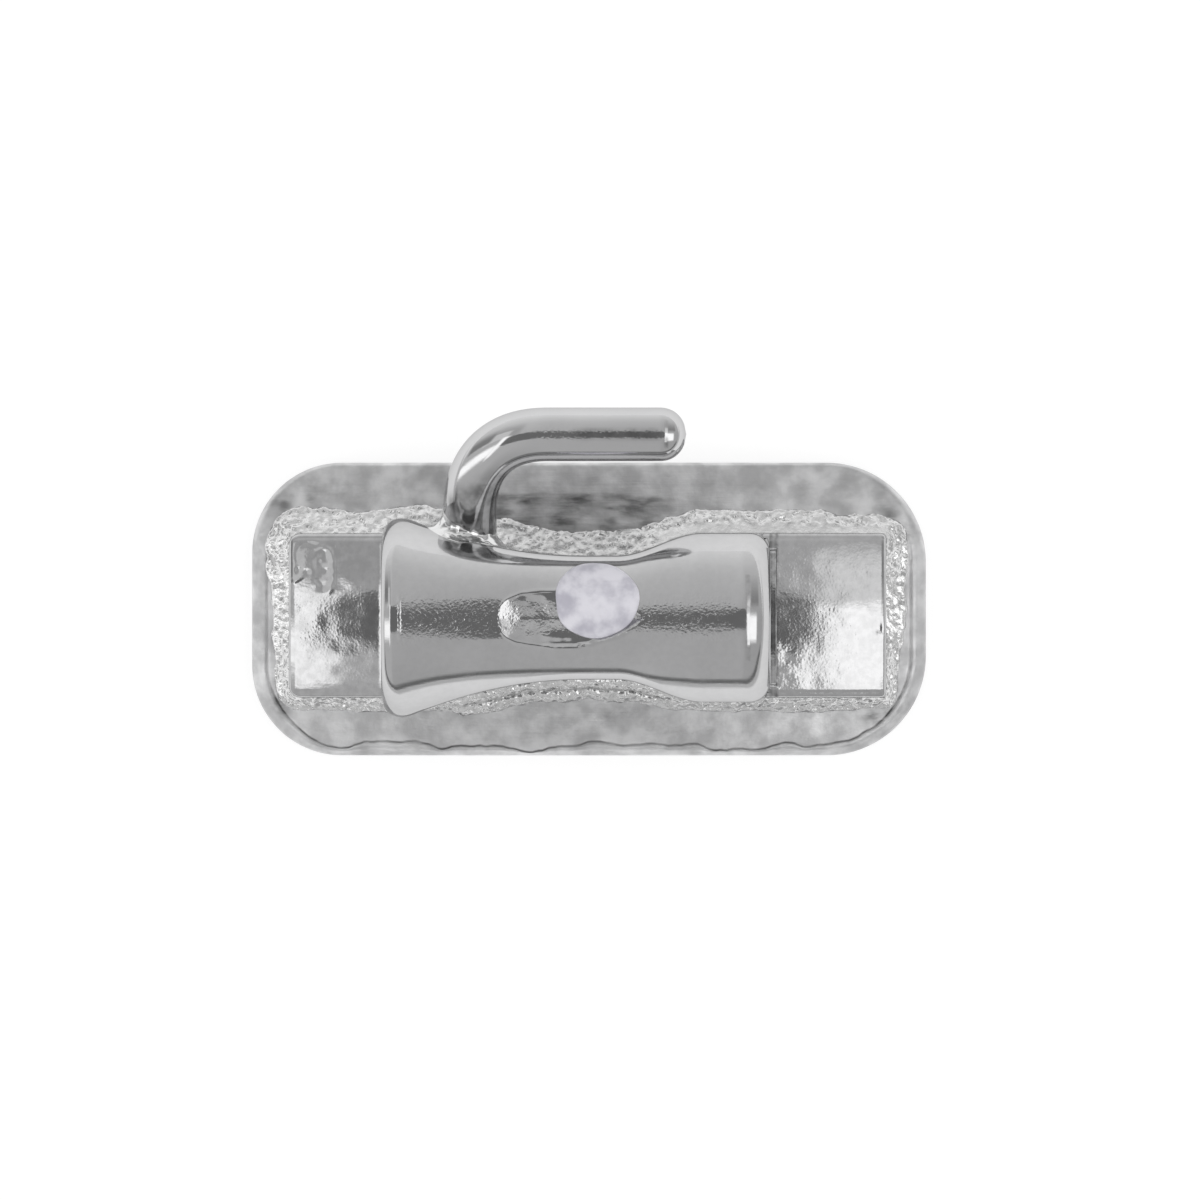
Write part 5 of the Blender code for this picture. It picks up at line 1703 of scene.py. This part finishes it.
class Room:
    """The world's light, drawn on the slope of the surface that mirrors it.

    A direction is told by the slope of a face that would mirror it to a viewer overhead: 0 is straight up,
    0.41 is 45 degrees down and 1 is the horizon.
    """

    def __init__(self) -> None:
        """Start the world's node tree."""
        self.world = bpy.data.worlds.new("room")
        self.world.use_nodes = True
        self.tree = self.world.node_tree
        self.tree.nodes.clear()
        source = self.tree.nodes.new("ShaderNodeTexCoord").outputs["Generated"]
        parts = self.node("ShaderNodeSeparateXYZ", source).outputs
        lifted = self.math("ADD", parts["Z"], 1.0001)
        self.slope_x = self.math("DIVIDE", parts["X"], lifted)
        self.slope_y = self.math("DIVIDE", parts["Y"], lifted)
        squares = self.math(
            "ADD", self.math("MULTIPLY", self.slope_x, self.slope_x), self.math("MULTIPLY", self.slope_y, self.slope_y)
        )
        self.slope = self.math("SQRT", squares, 0.0)

    def node(self, kind: str, first: bpy.types.NodeSocket) -> bpy.types.Node:
        """Add a node and link its first input."""
        node = self.tree.nodes.new(kind)
        self.tree.links.new(first, node.inputs[0])
        return node

    def math(
        self, operation: str, one: bpy.types.NodeSocket, other: bpy.types.NodeSocket | float
    ) -> bpy.types.NodeSocket:
        """Work out one operation on two numbers."""
        node = self.node("ShaderNodeMath", one)
        node.operation = operation
        if isinstance(other, bpy.types.NodeSocket):
            self.tree.links.new(other, node.inputs[1])
        else:
            node.inputs[1].default_value = other
        return node.outputs[0]

    def ease(self, value: bpy.types.NodeSocket, low: float, high: float) -> bpy.types.NodeSocket:
        """Ease from 0 at low to 1 at high, or down where high is less than low."""
        node = self.node("ShaderNodeMapRange", value)
        node.interpolation_type = "SMOOTHSTEP"
        if low < high:
            ends, onto = (low, high), (0.0, 1.0)
        else:
            ends, onto = (high, low), (1.0, 0.0)
        node.inputs["From Min"].default_value, node.inputs["From Max"].default_value = ends
        node.inputs["To Min"].default_value, node.inputs["To Max"].default_value = onto
        return node.outputs["Result"]

    def patch(
        self, ends_x: tuple[float, float], ends_y: tuple[float, float], soft: float, fade: float = 0.0
    ) -> bpy.types.NodeSocket:
        """Return 1 inside a rectangle of slopes and 0 outside, with soft edges and a longer fade at its gum end."""
        last = soft + fade
        shares = [
            self.ease(self.slope_x, ends_x[0] - soft, ends_x[0] + soft),
            self.ease(self.slope_x, ends_x[1] + soft, ends_x[1] - soft),
            self.ease(self.slope_y, ends_y[0] - soft, ends_y[0] + soft),
            self.ease(self.slope_y, ends_y[1] + last, ends_y[1] - last),
        ]
        total = shares[0]
        for share in shares[1:]:
            total = self.math("MULTIPLY", total, share)
        return total

    def cap(self) -> bpy.types.NodeSocket:
        """Return 1 in the dark block overhead, where the camera and its hand stand, and 0 outside."""
        shifted = self.math("ADD", self.slope_x, 0.015)
        across = self.math("ADD", self.slope_y, 0.017)
        fourths = []
        for value, half in ((shifted, 0.1885), (across, 0.125)):
            share = self.math("DIVIDE", value, half)
            square = self.math("MULTIPLY", share, share)
            fourths.append(self.math("MULTIPLY", square, square))
        reach = self.math("POWER", self.math("ADD", *fourths), 0.25)
        return self.ease(reach, 1.05, 0.95)

    def toward(
        self, value: bpy.types.NodeSocket, level: float, share: bpy.types.NodeSocket
    ) -> bpy.types.NodeSocket:
        """Move a brightness toward a level by a share."""
        node = self.tree.nodes.new("ShaderNodeMix")
        self.tree.links.new(share, node.inputs["Factor"])
        self.tree.links.new(value, node.inputs[2])
        node.inputs[3].default_value = level
        return node.outputs[0]

    def build(self) -> None:
        """Join the room's parts and set it as the scene's world."""
        aside = self.node("ShaderNodeClamp", self.slope_x)
        aside.inputs["Min"].default_value, aside.inputs["Max"].default_value = -0.08, 0.08
        climb = self.math("MULTIPLY", self.math("MAXIMUM", self.slope_y, 0.0), 0.25)
        level = self.math("ADD", self.math("SUBTRACT", climb, self.math("MULTIPLY", aside.outputs[0], 0.6)), 0.57)
        glow = self.math("MULTIPLY", self.ease(self.slope_y, 0.4, 1.0), 0.15)
        level = self.math("ADD", level, glow)
        level = self.toward(level, 0.49, self.patch((-0.4, -0.14), (0.1, 0.42), 0.03, 0.15))
        level = self.toward(level, 0.8, self.patch((-0.5, -0.215), (0.1, 0.3), 0.01))
        level = self.toward(level, 0.3, self.patch((0.31, 0.72), (0.14, 0.34), 0.05, 0.2))
        level = self.toward(level, 0.3, self.patch((-0.86, -0.4), (0.14, 0.4), 0.03, 0.12))
        level = self.toward(level, 1.05, self.patch((0.176, 0.29), (-0.02, 0.24), 0.02, 0.04))
        level = self.toward(level, 1.6, self.patch((0.168, 0.27), (-0.32, 0.05), 0.015))
        level = self.toward(level, 1.6, self.patch((0.25, 0.6), (-0.27, 0.03), 0.045))
        level = self.toward(level, 1.55, self.patch((-0.25, -0.195), (-0.26, 0.12), 0.02))
        level = self.toward(level, 1.55, self.patch((-0.95, -0.235), (-0.205, -0.03), 0.045))
        level = self.toward(level, 0.2, self.cap())
        horizon = self.math(
            "MULTIPLY", self.ease(self.slope, 0.82, 0.92), self.ease(self.slope, 1.02, 0.96)
        )
        low = self.math("MULTIPLY", horizon, self.ease(self.slope_y, -0.25, -0.5))
        level = self.toward(level, 0.2, low)
        path = self.tree.nodes.new("ShaderNodeLightPath").outputs["Is Camera Ray"]
        level = self.toward(level, 1.05, path)
        background = self.tree.nodes.new("ShaderNodeBackground")
        background.inputs["Color"].default_value = (1.0, 1.0, 1.0, 1.0)
        self.tree.links.new(level, background.inputs["Strength"])
        out = self.tree.nodes.new("ShaderNodeOutputWorld")
        self.tree.links.new(background.outputs[0], out.inputs["Surface"])
        bpy.context.scene.world = self.world


@dataclass
class BuccalTube:
    """The whole dressed part.

    Attributes:
        sizes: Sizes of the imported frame.
        curve: The tooth surface.
    """

    sizes: FrameSizes
    curve: ToothCurve = field(default_factory=ToothCurve)

    def build(self) -> None:
        """Build every piece in order."""
        tube = TubeBody(self.sizes, self.curve)
        hook = Hook(self.sizes, tube)
        woven = WovenMesh(self.sizes, self.curve)
        steel = PolishedSteel("polished_tube").build()
        hook_steel = PolishedSteel("polished_wire", specks=5.0).build()
        braze = GrainyBraze().build()
        puddle = GrainyBraze("melted_braze", gloss=(0.06, 0.2), grains=8.0, grain_depth=0.006).build()
        wire = WireSteel().build()
        finish_piece("tube_casting", tube.build(), steel, ("tube_body",), 35.0)
        finish_piece("hook_wire", hook.build_wire(hook_steel), hook_steel, ("hook",))
        finish_piece("hook_puddle", hook.build_puddle(), puddle, ("hook_braze",), 60.0)
        finish_piece("paint_dot", PaintMark(self.sizes, tube).build(), EnamelPaint().build(), ("id_mark",), 60.0)
        finish_piece("braze_fillet", PadBraze(self.sizes, self.curve, tube).build(), braze, ("pad_braze",), 70.0)
        finish_piece("foil_sheet", PadFoil(self.sizes, self.curve).build(), SatinFoil().build(), ("pad_foil",), 50.0)
        finish_piece("mesh_wires", woven.build_wires(wire), wire, ("pad_mesh",))
        finish_piece("mesh_border", woven.build_border(), wire)


def main() -> None:
    """Load the frame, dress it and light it."""
    logging.basicConfig(level=logging.INFO, format="%(name)s: %(message)s")
    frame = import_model()
    LOG.info("frame with %d nodes", len(frame["nodes"]))
    sizes = FrameSizes.read()
    BuccalTube(sizes).build()
    Studio(sizes).build()


if __name__ == "__main__":
    main()
